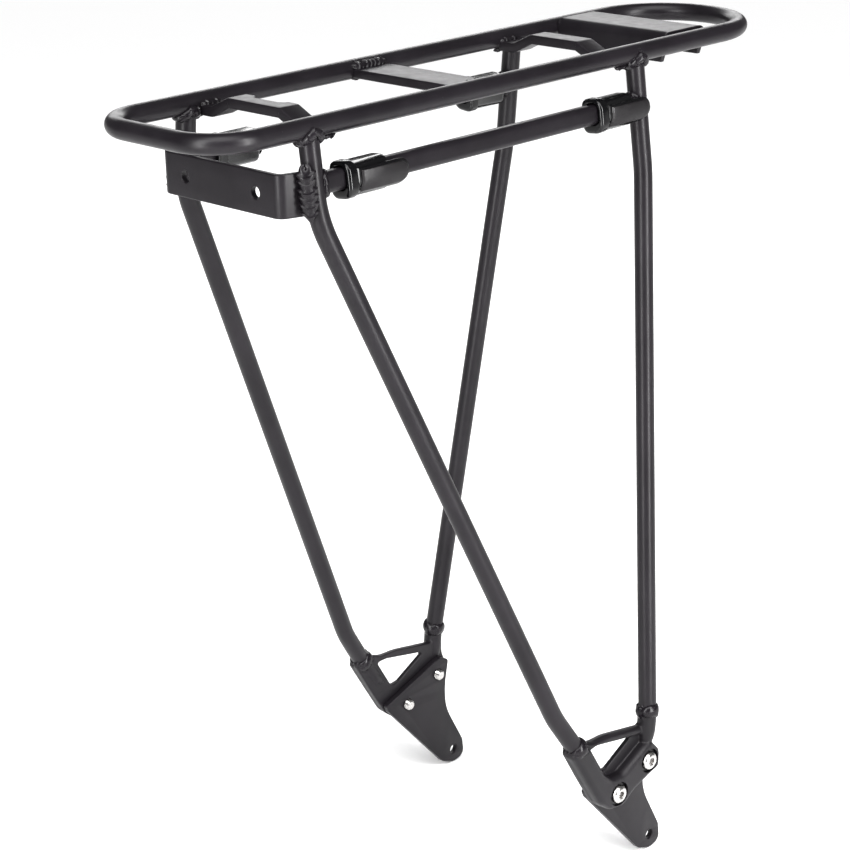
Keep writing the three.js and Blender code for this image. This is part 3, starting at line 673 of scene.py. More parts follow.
def side_axes():
    """Down and outward directions of the leaning right side frame."""
    s = rods()
    lean = math.atan2(s.foot_half_w - DECK_HALF_W, DECK_Z - s.front_foot_z)
    return Vector((0, -math.sin(lean), -math.cos(lean))), Vector((0, -math.cos(lean), math.sin(lean)))


def on_side(x, z, out=0.0):
    """The point at (x, height z) in the right side frame's plane."""
    down, outward = side_axes()
    return Vector((x, -DECK_HALF_W, DECK_Z)) + down * ((DECK_Z - z) / -down.z) + outward * out


def leg_path(which):
    """A leg's corners as (x, height[, bend radius])."""
    s = rods()
    if which == "front":
        return [
            (s.front_leg_x, DECK_Z),
            (s.front_leg_x, DECK_Z - s.front_bend_drop, 90),
            (s.front_foot_x, s.front_foot_z - 2),
        ]
    return [
        (s.rear_leg_x, DECK_Z),
        (s.rear_leg_x, DECK_Z - s.rear_bend_drop, 58),
        (s.knee_x, s.knee_z, 60),
        (s.rear_foot_x, s.rear_foot_z),
    ]


def side_rings(section, corners):
    """A section's rings along (x, height[, radius]) corners in the side frame."""
    down, _ = side_axes()
    path = bent([(c[0], (DECK_Z - c[1]) / -down.z, *c[2:]) for c in corners])
    return rings_along(section, path, X, down, Vector((0, -DECK_HALF_W, DECK_Z)))


def bead(points, normals, wide, high, pitch, closed, step=0.28):
    """A weld bead on a seam: a row of puddles, each lapped over the last."""
    length = [0.0]
    pairs = list(zip(points, points[1:] + points[:1]))
    for a, b in pairs if closed else pairs[:-1]:
        length.append(length[-1] + (b - a).length)
    total = length[-1]
    pitch = total / max(3, round(total / pitch))
    count = round(total / pitch * 8)
    rings, k = [], 0
    for i in range(count + (0 if closed else 1)):
        s = total * i / count
        while k < len(length) - 2 and length[k + 1] < s:
            k += 1
        f = (s - length[k]) / max(1e-9, length[k + 1] - length[k])
        j = (k + 1) % len(points)
        p = points[k].lerp(points[j], f)
        n = normals[k].lerp(normals[j], f).normalized()
        t = (points[j] - points[k]).normalized()
        side = t.cross(n).normalized()
        puddle = s / pitch
        swell = (1 - step) + step * (1 - puddle % 1.0) ** 1.4
        swell *= 1 + 0.07 * math.sin(2.4 * math.floor(puddle))  # no two puddles alike
        if not closed:
            swell *= min(1.0, math.sqrt(max(0.0, min(s, total - s) / wide)) + 0.08)
        ring = []
        for q in ring_of(1, 18):
            lap = 0.55 * wide * (q.x * q.x - 0.5)  # bows each ripple along the seam
            ring.append(p + side * (q.x * wide * swell) + n * (q.y * high * swell) - t * lap)
        rings.append(ring)
    return Shape().loft(rings, closed=closed)


class RACK_OT_loop(bpy.types.Operator):
    """Bends the deck's loop from one rod"""

    bl_idname = "rack.loop"
    bl_label = "Top loop"

    def execute(self, context):
        s = rods()
        w = DECK_HALF_W
        stations = []
        for cx, cy, r, start in (
            (LOOP_FRONT_X, -w, s.front_corner, -90),
            (LOOP_FRONT_X, w, s.front_corner, 0),
            (LOOP_REAR_X, w, s.rear_corner, 90),
            (LOOP_REAR_X, -w, s.rear_corner, 180),
        ):
            centre = Vector((cx - math.copysign(r, cx), cy - math.copysign(r, cy)))
            for k in range(25):
                a = math.radians(start + 90 * k / 24)
                out, along = Vector((math.cos(a), math.sin(a))), Vector((-math.sin(a), math.cos(a)))
                stations.append((centre + out * r, along))
        rings = rings_along(ring_of(ROD_R, 56), stations, X, Y, Vector((0, 0, DECK_Z)))
        put("loop_rod", Shape().loft(rings, closed=True), "powder_coated_rod", "top_loop")
        return {"FINISHED"}


class RACK_OT_legs(bpy.types.Operator):
    """Bends the four legs"""

    bl_idname = "rack.legs"
    bl_label = "Legs"

    def execute(self, context):
        for side in SIDES:
            for which in ("rear", "front"):
                shape = Shape().loft(side_rings(ring_of(ROD_R, 44), leg_path(which)))
                put(f"{which}_leg_rod", shape, "powder_coated_rod", f"{which}_leg", side)
        return {"FINISHED"}


class RACK_OT_side_bars(bpy.types.Operator):
    """Draws the flattened bars that bags hook onto"""

    bl_idname = "rack.side_bars"
    bl_label = "Side bars"

    def execute(self, context):
        s = rods()
        z = DECK_Z - s.bar_drop
        bite = 2  # how far the ends go into the legs
        section = rectangle(s.bar_h / 2, s.bar_w / 2, s.bar_corner, 8)
        shape = Shape().loft(side_rings(section, [(s.rear_leg_x + bite, z), (s.front_leg_x - bite, z)]))
        for side in SIDES:
            put("side_bar_rod", shape, "powder_coated_rod", "side_bar", side)
        return {"FINISHED"}


# ------------------------------------------------------------- cross pieces
def strip_section(x0, x1, t, edge):
    """Section of a strip from x0 to x1, t thick, as (x, up)."""
    return rounded([(x0, -t, edge), (x1, -t, edge), (x1, 0, edge), (x0, 0, edge)], 4)


class RACK_OT_cross_pieces(bpy.types.Operator):
    """Shapes the two arches, the middle plate and the front cover"""

    bl_idname = "rack.cross_pieces"
    bl_label = "Cross pieces"

    def arch(self, name, node, flat_half, notch):
        """A strip that rises between its ends, with a notch if asked for."""
        s = bpy.context.scene.rack_plates
        low, high = box_of(node)
        x = (low.x + high.x) / 2
        top = DECK_Z + s.arch_top
        end = DECK_HALF_W - ROD_R + STRIP_BITE
        foot_half = flat_half + s.arch_slope
        foot = top - s.arch_rise
        left = [(-end, foot), (-foot_half, foot, 5), (-flat_half, top, 4)]
        right = [(flat_half, top, 4), (foot_half, foot, 5), (end, foot)]
        path = bent(left + right, 4)
        spacing = 0.8  # between rings, so that the notch has points to follow
        flare = 3.4  # length of each flared end of the notch
        fine = [path[0]]
        for (p, t), (q, u) in zip(path, path[1:]):
            count = max(1, int((q - p).length / spacing))
            fine += [(p.lerp(q, k / count), t.lerp(u, k / count).normalized()) for k in range(1, count + 1)]
        rings = []
        for p, t in fine:
            front = s.arch_w / 2
            if notch:
                d = (s.notch_half + flare - abs(p.x)) / flare
                front -= s.notch_depth * max(0.0, min(1.0, d)) ** 0.6
            up = Vector((-t.y, t.x))
            ring = []
            for q in strip_section(-s.arch_w / 2, front, s.arch_t, s.edge):
                yz = p + up * q.y
                ring.append(Vector((x + q.x, yz.x, yz.y)))
            rings.append(ring)
        put(name, Shape().loft(rings), "powder_coated_plate", node)

    def execute(self, context):
        s = context.scene.rack_plates
        self.arch("rear_arch_strip", "rear_arch", s.rear_arch_half, True)
        self.arch("front_arch_strip", "front_arch", s.front_arch_half, False)

        low, high = box_of("middle_plate")
        end = DECK_HALF_W - ROD_R + STRIP_BITE
        section = strip_section(low.x, high.x, high.z - low.z, s.edge)
        rings = [[Vector((q.x, y, high.z + q.y)) for q in section] for y in (-end, end)]
        put("middle_strip", Shape().loft(rings), "powder_coated_plate", "middle_plate")

        # A channel with rounded shoulders; its walls are clipped at the ends.
        low, high = box_of("front_cover")
        wall, half = s.cover_wall, high.y
        ys = [half - d for d in (0, 0.25, 0.6, 1.0, 1.4, 1.8, 2.2, 2.6, 3.0, 3.6, 4.4, 6)]
        stations = sorted([-y for y in ys] + ys)
        clip_run, clip_rise = 3, 9  # each clipped corner, along and up the wall
        rings = []
        for y in stations:
            inset = half - abs(y)
            lift = max(0.0, clip_run - inset) / clip_run * clip_rise
            soft = 0.5 * max(0.0, 1 - inset / 0.6) ** 2  # rounds the end's edge
            base = low.z + lift
            outline = rounded(
                [
                    (low.x + soft, base, 0.6),
                    (low.x + wall, base, 0.6),
                    (low.x + wall, high.z - wall, 2),
                    (high.x - wall, high.z - wall, 2),
                    (high.x - wall, base, 0.6),
                    (high.x - soft, base, 0.6),
                    (high.x - soft, high.z - soft, 5),
                    (low.x + soft, high.z - soft, 5),
                ],
                7,
            )
            rings.append([Vector((q.x, y, q.y)) for q in outline])
        put("cover_channel", Shape().loft(rings), "powder_coated_plate", "front_cover")
        return {"FINISHED"}


class RACK_OT_light_bracket(bpy.types.Operator):
    """Folds the light bracket and drills its two holes"""

    bl_idname = "rack.light_bracket"
    bl_label = "Light bracket"

    def execute(self, context):
        s, r = context.scene.rack_plates, rods()
        low, high = box_of("light_bracket")
        z = (low.z + high.z) / 2
        leg_y = -on_side(r.rear_leg_x, z).y
        mid, half, end = low.x + s.bracket_t / 2, leg_y - 6, leg_y - 1.1
        leg_x = r.rear_leg_x - 1
        path = bent([(leg_x, -end), (mid, -half, 4), (mid, half, 4), (leg_x, end)], 6)
        section = rectangle(s.bracket_t / 2, s.bracket_h / 2, s.edge, 4)
        strap = Shape().loft(rings_along(section, path, X, Y, Vector((0, 0, z)))).mesh("strap", 1.0)
        # straight bores with a small broken edge on the outer face
        hole = s.light_hole_r
        steps = [(low.x + 6, hole), (low.x + 0.35, hole), (low.x - 0.4, hole + 0.75)]
        drills = []
        for y in (-s.light_pitch / 2, s.light_pitch / 2):
            drills.append([[Vector((x, y + q.x, z + q.y)) for q in ring_of(reach, 40)] for x, reach in steps])
        mesh = bored("bracket_strap", strap, drills)
        mesh.transform(Matrix.Scale(MM, 4))
        put("bracket_strap", mesh, "powder_coated_plate", "light_bracket")
        return {"FINISHED"}


# ------------------------------------------------------------------- feet
def foot_ends():
    """Each leg's lower end and direction on the right."""
    s = rods()
    rear, front = on_side(s.rear_foot_x, s.rear_foot_z), on_side(s.front_foot_x, s.front_foot_z)
    knee = on_side(s.knee_x, s.knee_z)
    bend = on_side(s.front_leg_x, DECK_Z - s.front_bend_drop)
    return {"rear": (rear, (rear - knee).normalized()), "front": (front, (front - bend).normalized())}


def across(direction):
    """Two directions square to it."""
    side = direction.cross(Y).normalized()
    return side, direction.cross(side)


def turned(point, direction, profile, sides=40):
    """Rings of a turned shape: (distance, radius) along direction."""
    side, other = across(direction)
    return [[point + direction * d + side * q.x + other * q.y for q in ring_of(r, sides)] for d, r in profile]


SCREWS = {"upper": (-11.8, 54.6), "lower": (-37.6, 44.2)}  # (x, z) of each, in mm


class RACK_OT_castings(bpy.types.Operator):
    """Casts the feet: stubs for the legs, an arm, a brace and a screwed lug"""

    bl_idname = "rack.castings"
    bl_label = "Foot castings"

    def execute(self, context):
        s, r = context.scene.rack_feet, rods()
        inner = PLATE_IN_Y + PLATE_T + PLATE_GAP
        rx, rz, fx, fz = r.rear_foot_x, r.rear_foot_z, r.front_foot_x, r.front_foot_z

        def layer(outline, holes, t0, t1, edge):
            """A plate from t0 to t1 out of the casting's inner face."""
            to_world = basis(X, Z, -Y, Vector((0, -(inner + (t0 + t1) / 2), 0)))
            return plate(rounded(outline), [rounded(h) for h in holes], t1 - t0, edge, to_world, 2)

        web = layer(
            [
                (rx - 7.6, rz - 0.5, 3),
                (-64, 61.4, 12),
                (-52.8, 42.8, 8),
                (-44.3, 36.2, 6),
                (-33, 34.4, 6),
                (-24.2, 40.2, 8),
                (-11, 44.8, 10),
                (-1.8, 47, 4),
                (-1.6, 58, 5),
                (fx + 2.7, fz - 20, 5),
                (fx + 2.7, fz - 7.5, 1),
                (fx - 7.4, fz - 11.1, 2),
                (-43.6, 80.4, 20),
                (rx + 15, rz - 3.9, 6),
                (rx + 7.4, rz - 1, 3),
            ],
            [
                [
                    (-58.2, 77.6, 1.2),
                    (-47.3, 58.9, 2.4),
                    (-41.2, 59.4, 2),
                    (-21.2, 70.2, 1.4),
                    (-23.4, 71.9, 1.2),
                    (-50.5, 77.4, 8),
                ]
            ],
            0,
            s.web_t,
            0.4,
        )
        arm = layer(
            [
                (rx - 7, rz - 1.5, 3),
                (-63.5, 61.2, 12),
                (-52.6, 43, 8),
                (-44.2, 36.5, 6),
                (-33, 34.8, 6),
                (-24.4, 40.6, 8),
                (-11, 45.2, 10),
                (-2.2, 47.4, 4),
                (-1.8, 58, 5),
                (-9.6, 66.5, 3),
                (-15.6, 64.2, 4),
                (-34.6, 54.8, 6),
                (-42.6, 55.4, 4),
                (-48.4, 60.4, 6),
                (rx + 8.6, rz - 3, 4),
            ],
            [],
            0.2,
            s.lug_t,
            3.1,
        )
        brace = layer(
            [
                (rx + 11.6, rz - 8.5, 1),
                (rx + 17.9, rz - 7.3, 6),
                (-40, 75, 10),
                (fx - 2.9, fz - 16.8, 2),
                (fx - 2.9, fz - 12, 2),
                (-40, 79.3, 10),
                (rx + 16.9, rz - 4.4, 6),
                (rx + 8.9, rz - 2.5, 1),
            ],
            [],
            0.2,
            s.pad_t - 0.9,
            1.9,
        )
        solid = Shape()
        for mesh in (web, arm, brace):
            solid.take(mesh)
        for which, (top, direction) in foot_ends().items():
            # past the first centimetre a stub runs down beside the plate
            end = 23 if which == "front" else 32
            flat = Vector((direction.x, 0, direction.z)).normalized()
            side, other = across(direction)
            rings = []
            for k in range(20):
                d = 0.4 + (end - 0.4) * k / 19
                centre = top + direction * min(d, 6) + flat * max(0, d - 6)
                radius = s.stub_r * (1 - 0.3 * max(0.0, (d - 14) / (end - 14)) ** 2)
                rings.append([centre + side * q.x * radius + other * q.y * radius for q in ring_of(1, 40)])
            solid.loft(rings)
        # One skin over the joined parts, softened as a sand mould leaves it.
        skin = apply_modifiers(
            "casting",
            solid.mesh("casting", 1.0),
            [
                ("REMESH", {"mode": "VOXEL", "voxel_size": 0.42}),
                ("SMOOTH", {"factor": 0.5, "iterations": 5}),
                ("DECIMATE", {"ratio": 0.4}),
            ],
        )
        # the plate's face stays free: nothing stands inside the casting
        for v in skin.vertices:
            if v.co.z < 64 and abs(v.co.y) < inner:
                v.co.y = math.copysign(inner, v.co.y)
        # the screws' holes and the counterbores, cut after casting
        seat, hole, wide = inner + s.pad_t, s.screw_r + HOLE_PLAY, s.counterbore_r
        steps = [(inner - 4, hole), (seat, hole), (seat, wide), (seat + 8, wide)]
        drills = []
        for x, z in SCREWS.values():
            drills.append([[Vector((x + q.x, -y, z + q.y)) for q in ring_of(reach, 48)] for y, reach in steps])
        shape = Shape().take(bored("casting", skin, drills))
        for side in SIDES:
            finish, slot = "powder_coated_casting", "coated_casting"
            put("casting_skin", shape, finish, "foot_casting", side, sharp=60)
        return {"FINISHED"}


class RACK_OT_foot_plates(bpy.types.Operator):
    """Stamps the plates that carry the dropout eyelets"""

    bl_idname = "rack.foot_plates"
    bl_label = "Foot plates"

    def execute(self, context):
        s = context.scene.rack_feet
        outline = rounded(
            [
                (0.3, -8.5, 7),
                (8.9, -6.6, 6.5),
                (8, 4, 8),
                (-6.1, 31, 30),
                (-6.1, 46, 30),
                (-2.8, 61.5, 2.2),
                (-9.5, 64.8, 3),
                (-14.5, 63.6, 4),
                (-55.2, 49, 1.2),
                (-53.4, 44.6, 2),
                (-9.5, -5, 7),
            ],
            10,
        )
        holes = [ring_of(s.eyelet_r, 40)]
        holes += [[q + Vector(at) for q in ring_of(s.screw_r + HOLE_PLAY, 36)] for at in SCREWS.values()]
        to_world = basis(X, Z, -Y, Vector((0, -(PLATE_IN_Y + PLATE_T / 2), 0)))
        shape = Shape().take(plate(outline, holes, PLATE_T, 0.45, to_world))
        for side in SIDES:
            put("eyelet_plate", shape, "powder_coated_plate", "foot_plate", side, sharp=40)
        return {"FINISHED"}


class RACK_OT_fasteners(bpy.types.Operator):
    """Turns the button-head screws and presses the washers"""

    bl_idname = "rack.fasteners"
    bl_label = "Screws and washers"

    def execute(self, context):
        s = context.scene.rack_feet
        washer_in = PLATE_IN_Y + PLATE_T + PLATE_GAP + s.pad_t + 0.1
        head = washer_in + s.washer_t + 0.05
        tip = PLATE_IN_Y - s.tip
        top = head + s.head_h
        root, crest = s.screw_r - 0.38, s.screw_r  # of the thread
        pitch, key = 1.0, 2.0  # thread's pitch; half the hexagon key's width

        def ring(at, y, r, hexagon=False):
            """A ring of radius r, or a hexagon r from its flats, y out."""
            points = []
            for q in ring_of(1, 48):
                # a hexagon's wall is nearer than its corners
                turn = math.atan2(q.y, q.x) % (math.pi / 3) - math.pi / 6
                here = r / math.cos(turn) if hexagon else r
                points.append(Vector((at[0] + here * q.x, -y, at[1] + here * q.y)))
            return points

        def screw(at):
            """A button-head screw with a hexagon socket, tip first."""
            profile = [(tip, 0.3), (tip, s.screw_r - 0.7)]
            # thread crests on the free end
            y = tip + 0.35
            while y < PLATE_IN_Y + 1.5:
                profile += [(y, root), (y + 0.3, crest), (y + 0.45, crest), (y + 0.75, root)]
                y += pitch
            profile += [(y, crest), (head, crest), (head, s.head_r - 0.3), (head + 0.2, s.head_r)]
            for f in range(10):
                a = math.radians(90 * f / 9)
                dome = s.head_r * 0.56 + s.head_r * 0.44 * math.cos(a)
                profile.append((head + 0.5 + (s.head_h - 0.5) * math.sin(a), dome))
            rings = [ring(at, y, r) for y, r in profile]
            rings += [ring(at, top, 2.55), ring(at, top - 0.25, key, True)]
            rings += [ring(at, top - 2.1, key, True), ring(at, top - 2.6, 0.2)]
            return Shape().loft(rings)

        def washer(at):
            """A flat ring with soft edges."""
            rim, bore, t = s.washer_r, s.screw_r + 0.35, s.washer_t
            profile = [(0, bore), (0, rim - 0.4), (0.15, rim - 0.1), (0.4, rim), (t - 0.4, rim)]
            profile += [(t - 0.12, rim - 0.12), (t, rim - 0.45), (t, bore + 0.3), (t - 0.3, bore)]
            return Shape().loft([ring(at, washer_in + y, r) for y, r in profile], closed=True)

        for side in SIDES:
            for place, at in SCREWS.items():
                name, node = f"button_screw_{place}", f"screw_{place}"
                put(name, screw(at), "stainless_steel", node, side, sharp=38)
                name, node = f"black_ring_{place}", f"washer_{place}"
                put(name, washer(at), "black_nylon", node, side, sharp=60)
        return {"FINISHED"}


class RACK_OT_clips(bpy.types.Operator):
    """Moulds the clips that slide along the side bars"""

    bl_idname = "rack.clips"
    bl_label = "Clips"

    def sleeve(self, x0):
        """The closed sleeve, with its bore and its thicker rear collar."""
        s, r = bpy.context.scene.rack_clips, rods()
        down, outward = side_axes()
        z = DECK_Z - r.bar_drop

        def ring(x, grow, bore=False):
            """The section at x, of the bore or of the outside."""
            if bore:
                play = HOLE_PLAY + grow
                w, h, drop = r.bar_w / 2 + play, r.bar_h / 2 + play, 0
                c = c_out = r.bar_corner + play
            else:
                w, h, drop = s.width / 2 + grow, s.height / 2 + grow, s.drop
                c, c_out = s.corner + grow, s.corner + 2 + grow
            at = on_side(x0 + x, z - drop)
            corners = [(-h, -w, c), (h, -w, c), (h, w, c_out), (-h, w, c_out)]
            return [at + down * q.x + outward * q.y for q in rounded(corners, 10)]

        g, n, lobe = s.lobe_grow, s.sleeve, s.lobe
        rings = [ring(n - 0.5, 0, True), ring(0.6, 0, True), ring(0.15, 0.35, True)]
        outside = [(0.0, g - 1.9), (0.2, g - 1.0), (0.7, g - 0.35), (1.5, g - 0.05), (2.2, g)]
        outside += [(lobe - 0.9, g), (lobe - 0.2, g - 0.15), (lobe + 0.15, g * 0.35), (lobe + 0.5, 0)]
        outside += [(n - 2.4, 0), (n - 1.2, -0.3), (n - 0.4, -0.9), (n, -1.7)]
        rings += [ring(x, grow) for x, grow in outside]
        return Shape().loft(rings, closed=True)

    def flap(self, x, length, top, bottom, out0, out1, nose, edge, heel):
        """A plate along the bar with a rounded front end. Its lower part
        curls in under the bar; heel is the slope of its rear end."""
        r = rods()
        down, outward = side_axes()
        z = DECK_Z - r.bar_drop
        rings = []
        body = length - nose
        spots = [0, heel * 0.15, heel * 0.5, heel]
        spots += [body + nose * math.sin(math.radians(a)) for a in range(0, 91, 9)]
        for d in spots:
            past = max(0.0, d - body) / nose
            shrink = nose * (1 - math.sqrt(max(0.0, 1 - past * past))) * 0.96
            slope = (out1 - out0 - 0.3) * (1 - d / heel) ** 0.8 if d < heel else 0.0
            sink = max(slope, edge * 0.5 * past**6)
            t, b, o = top - shrink, bottom + shrink, out1 - sink
            e = min(edge, (o - out0) * 0.45, (t - b) * 0.45)
            outline = [(t, out0, 0.1), (t, o, e), ((t + b) / 2, o, 0), (b, o, e * 1.5), (b, out0, 0.1)]
            at = on_side(x + d, z)
            ring = []
            for q in rounded(outline, 9):
                low = max(0.0, -1.2 - q.x)
                curl = 0.07 * low * low
                ring.append(at - down * q.x + outward * (q.y - curl))
            rings.append(ring)
        return Shape().loft(rings)

    def execute(self, context):
        s, r = context.scene.rack_clips, rods()
        starts = {
            "rear": r.rear_leg_x + ROD_R + 11,
            "front": r.front_leg_x - ROD_R - 4.7 - s.sleeve,
        }
        wall_top, wall_low = s.wall_h / 2 - s.wall_drop, -s.wall_h / 2 - s.wall_drop
        pad_top, pad_low = s.pad_h / 2 - s.wall_drop, -s.pad_h / 2 - s.wall_drop
        base = s.lobe - 1  # where the outer wall starts
        for side in SIDES:
            for which, x0 in starts.items():
                body = f"clip_{which}_{side}"
                wall_sizes = (wall_top, wall_low, s.wall_in, s.wall_out, 5.5, 0.7, 1.0)
                wall = self.flap(x0 + base, s.wall_l - base, *wall_sizes)
                name, node = f"clip_sleeve_{which}", f"clip_{which}_sleeve"
                shape = self.sleeve(x0).add(wall.verts, wall.faces)
                put(name, shape, "polished_abs", node, side, body, 40)
                pad_sizes = (pad_top, pad_low, s.wall_out + 0.02, s.pad_out, 4.6, 0.55, 1.3)
                pad = self.flap(x0 + s.pad_start, s.pad_l, *pad_sizes)
                name, node = f"clip_pad_{which}", f"clip_{which}_pad"
                put(name, pad, "grained_abs", node, side, body, 40)
        return {"FINISHED"}


class RACK_OT_welds(bpy.types.Operator):
    """Lays the weld beads at every joint of the frame"""

    bl_idname = "rack.welds"
    bl_label = "Welds"

    def saddle(self, x):
        """Round the top of a leg, where it meets its rail."""
        down, outward = side_axes()
        axis = Vector((x, -DECK_HALF_W, DECK_Z))
        points, normals = [], []
        for k in range(72):
            a = 2 * math.pi * k / 72
            radial = X * math.cos(a) + outward * math.sin(a)
            drop = math.hypot(ROD_R * math.cos(a), 1.6) + 0.6
            p = axis + radial * (ROD_R + 0.2) + down * drop
            rail = Vector((0, p.y - axis.y, p.z - axis.z)).normalized()
            points.append(p)
            normals.append((radial + rail * 0.7).normalized())
        return bead(points, normals, 2.9, 2.3, 3.3, True)

    def bar_end(self, leg_x, way):
        """Round the end of a side bar, where it meets a leg."""
        s = rods()
        down, outward = side_axes()
        at = on_side(leg_x, DECK_Z - s.bar_drop)
        points, normals = [], []
        for q in rectangle(s.bar_h / 2, s.bar_w / 2 - 0.3, s.bar_corner, 6):
            reach = math.sqrt(max(0.0, ROD_R**2 - q.y * q.y))
            points.append(at + down * q.x + outward * q.y + X * way * (reach + 0.6))
            normals.append((down * q.x + outward * q.y + X * way * 3).normalized())
        return bead(points, normals, 2.2, 1.7, 2.9, True)

    def seam(self, a, b, normal, wide, high, pitch=2.8):
        """A straight bead from a to b."""
        return bead([a.lerp(b, k / 12) for k in range(13)], [normal] * 13, wide, high, pitch, False)

    def collar(self, which, wide, high):
        """The band that joins a leg to its casting."""
        top, direction = foot_ends()[which]
        side, other = across(direction)
        points, normals = [], []
        for i in range(72):
            a = 2 * math.pi * i / 72
            radial = side * math.cos(a) + other * math.sin(a)
            points.append(top + direction * (3.6 + 0.5 * math.sin(2 * a + 1)) + radial * (ROD_R - 0.2))
            normals.append(radial)
        return bead(points, normals, wide, high, 5.2, True, 0.2)

    def execute(self, context):
        r = rods()
        _, outward = side_axes()
        pieces = {
            "rear_leg_top": self.saddle(r.rear_leg_x),
            "front_leg_top": self.saddle(r.front_leg_x),
            "side_bar_rear": self.bar_end(r.rear_leg_x, 1),
            "side_bar_front": self.bar_end(r.front_leg_x, -1),
            "rear_foot": self.collar("rear", 4.3, 2.2),
            "front_foot": self.collar("front", 3.9, 1.9),
        }

        # broad puddles that tie the light bracket to the rear legs
        low, high = box_of("light_bracket")
        place = outward * 2.6 - X * 6.4
        top, bottom = (on_side(r.rear_leg_x, z) + place for z in (high.z + 2.6, low.z - 1.5))
        pieces["bracket"] = self.seam(top, bottom, (outward - X).normalized(), 5.0, 2.8, 3.4)

        # the last puddle at the top of a front leg, laid in rings
        spot = Vector((r.front_leg_x - 0.5, -DECK_HALF_W, DECK_Z - 2.4)) + outward * 4.2
        steps = [(0, 5.2), (0.6, 4.9), (0.5, 4.2), (1.1, 3.7), (1.0, 3.0)]
        steps += [(1.5, 2.5), (1.4, 1.8), (1.8, 1.2), (1.7, 0.2)]
        pieces["front_leg_puddle"] = Shape().loft(turned(spot, outward, steps))

        # ends of the arches and of the middle plate, on the rails
        rise = context.scene.rack_plates.arch_rise
        for node, foot, wide, lift in (
            ("rear_arch", rise, 2.1, 0.2),
            ("front_arch", rise, 2.1, 0.2),
            ("middle_plate", 0, 3.0, 1.3),
        ):
            low, high = box_of(node)
            for place, z, up in (("top", high.z - foot + lift, 1), ("under", low.z, -1)):
                y = -DECK_HALF_W + math.sqrt(max(0.0, ROD_R**2 - (z - DECK_Z) ** 2)) + 0.2
                ends = [Vector((x, y, z)) for x in (low.x + 0.3, high.x - 0.3)]
                normal = Vector((0, 1, up)).normalized()
                pieces[f"{node}_{place}"] = self.seam(*ends, normal, wide if up > 0 else 1.9, 1.5)

        for side in SIDES:
            for place, shape in pieces.items():
                put(f"weld_{place}", shape, "powder_coated_weld", side=side, sharp=50)
        return {"FINISHED"}


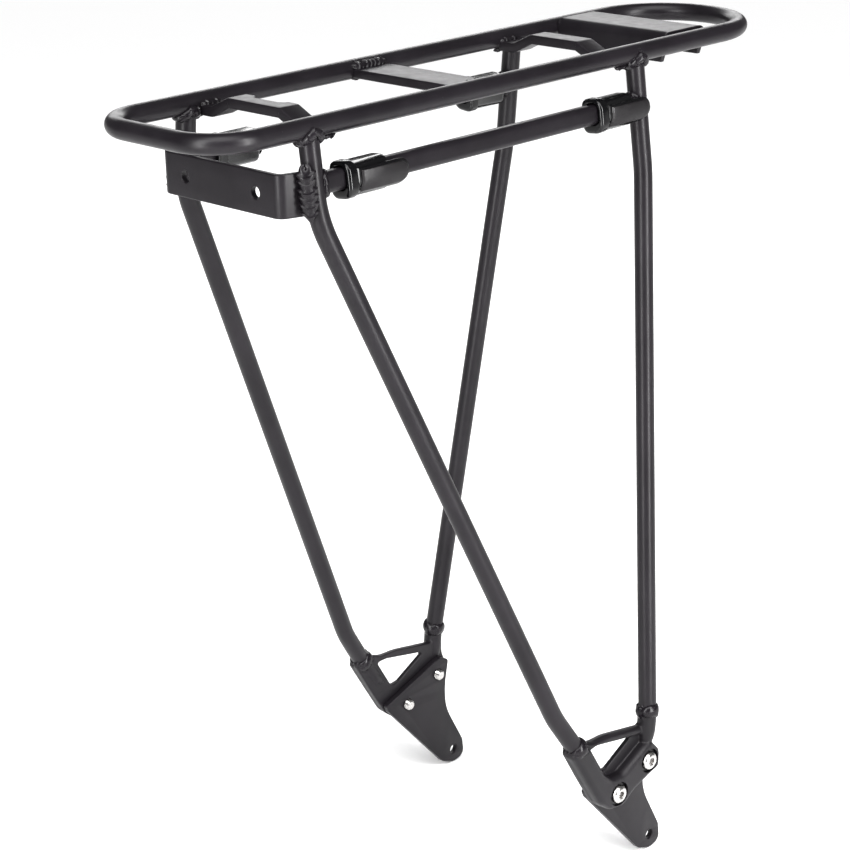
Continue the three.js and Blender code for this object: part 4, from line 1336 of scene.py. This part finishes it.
class RACK_OT_stage(bpy.types.Operator):
    """Sets the floor, the lights and the camera"""

    bl_idname = "rack.stage"
    bl_label = "Stage"

    def light(self, name, place, target, width, height, power):
        """A rectangular light that faces the target."""
        lamp = bpy.data.lights.new(name, "AREA")
        lamp.shape, lamp.size, lamp.size_y, lamp.energy = "RECTANGLE", width, height, power
        holder = bpy.data.objects.new(name, lamp)
        bpy.context.scene.collection.objects.link(holder)
        holder.location = place
        holder.rotation_euler = (Vector(target) - Vector(place)).to_track_quat("-Z", "Y").to_euler()

    def execute(self, context):
        s, scene = context.scene.rack_stage, context.scene
        low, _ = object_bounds()
        half, gap = 9.0, 0.0005  # of the floor, and under the rack, in metres
        z = low[2] - gap
        corners = [(-half, -half, z), (half, -half, z), (half, half, z), (-half, half, z)]
        mesh = bpy.data.meshes.new("floor")
        mesh.from_pydata(corners, [], [(0, 1, 2, 3)])
        mesh.materials.append(finish_of("painted_board"))
        floor = bpy.data.objects.new("floor", mesh)
        scene.collection.objects.link(floor)
        floor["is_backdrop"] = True

        world = bpy.data.worlds.new("studio")
        world.use_nodes = True
        background = world.node_tree.nodes["Background"]
        background.inputs["Color"].default_value = (1, 1, 1, 1)
        background.inputs["Strength"].default_value = s.fill
        scene.world = world
        # one very soft overhead source whitens the floor
        overhead = bpy.data.lights.new("overhead", "SUN")
        overhead.energy, overhead.angle = s.overhead, math.radians(50)
        holder = bpy.data.objects.new("overhead", overhead)
        scene.collection.objects.link(holder)
        holder.rotation_euler = Vector((0.35, 0.4, -1)).to_track_quat("-Z", "Y").to_euler()
        target = (-0.05, 0, 0.3)
        self.light("back_softbox", (1.1, 1.3, 1.0), target, 1.7, 0.5, s.back)
        # upright strips draw the long highlights down the legs
        self.light("strip_rear", (-1.12, -0.21, 0.6), target, 0.2, 1.3, s.strip_rear)
        self.light("strip_right", (-0.05, -1.15, 0.6), target, 0.2, 1.3, s.strip_right)

        forward = (Vector(s.looks_at) - Vector(s.camera_at)).normalized()
        right = forward.cross(Z).normalized()
        up = right.cross(forward)
        turn = Matrix.Rotation(s.roll, 3, forward)
        right, up = turn @ right, turn @ up
        data = bpy.data.cameras.new("camera")
        data.lens, data.sensor_width = s.lens, 36
        data.shift_x, data.shift_y = -0.0004, -0.0041
        data.clip_start, data.clip_end = 0.05, 60
        camera = bpy.data.objects.new("camera", data)
        scene.collection.objects.link(camera)
        camera.matrix_world = basis(right, up, -forward, Vector(s.camera_at))
        scene.camera = camera
        scene.view_settings.view_transform = "Standard"
        scene.view_settings.gamma = 0.86  # deepens the blacks a little
        return {"FINISHED"}


PIECES = (
    RACK_OT_loop,
    RACK_OT_legs,
    RACK_OT_side_bars,
    RACK_OT_cross_pieces,
    RACK_OT_light_bracket,
    RACK_OT_castings,
    RACK_OT_foot_plates,
    RACK_OT_fasteners,
    RACK_OT_clips,
    RACK_OT_welds,
    RACK_OT_stage,
)


class RACK_PT_panel(bpy.types.Panel):
    """Lists the rack's pieces in build order"""

    bl_idname = "RACK_PT_panel"
    bl_label = "Rear rack"
    bl_space_type = "VIEW_3D"
    bl_region_type = "UI"
    bl_category = "Rear rack"

    def draw(self, context):
        for piece in PIECES:
            self.layout.operator(piece.bl_idname)
        for group in SETTINGS:
            box = self.layout.box()
            settings = getattr(context.scene, group)
            for key in settings.bl_rna.properties.keys():
                if key not in ("rna_type", "name"):
                    box.prop(settings, key)


SETTINGS = {
    "rack_rods": RackRodSizes,
    "rack_plates": RackPlateSizes,
    "rack_clips": RackClipSizes,
    "rack_feet": RackFootSizes,
    "rack_colours": RackColours,
    "rack_stage": RackStageSizes,
}


def register():
    """Registers the settings, the operators and the panel."""
    for item in (*SETTINGS.values(), *PIECES, RACK_PT_panel):
        bpy.utils.register_class(item)
    for name, group in SETTINGS.items():
        setattr(bpy.types.Scene, name, PointerProperty(type=group))


def unregister():
    """Takes them away again."""
    for name in SETTINGS:
        delattr(bpy.types.Scene, name)
    for item in reversed((*SETTINGS.values(), *PIECES, RACK_PT_panel)):
        bpy.utils.unregister_class(item)


def main():
    """Builds every piece in order."""
    register()
    bpy.ops.rack.loop()
    bpy.ops.rack.legs()
    bpy.ops.rack.side_bars()
    bpy.ops.rack.cross_pieces()
    bpy.ops.rack.light_bracket()
    bpy.ops.rack.castings()
    bpy.ops.rack.foot_plates()
    bpy.ops.rack.fasteners()
    bpy.ops.rack.clips()
    bpy.ops.rack.welds()
    bpy.ops.rack.stage()


if __name__ == "__main__":
    main()
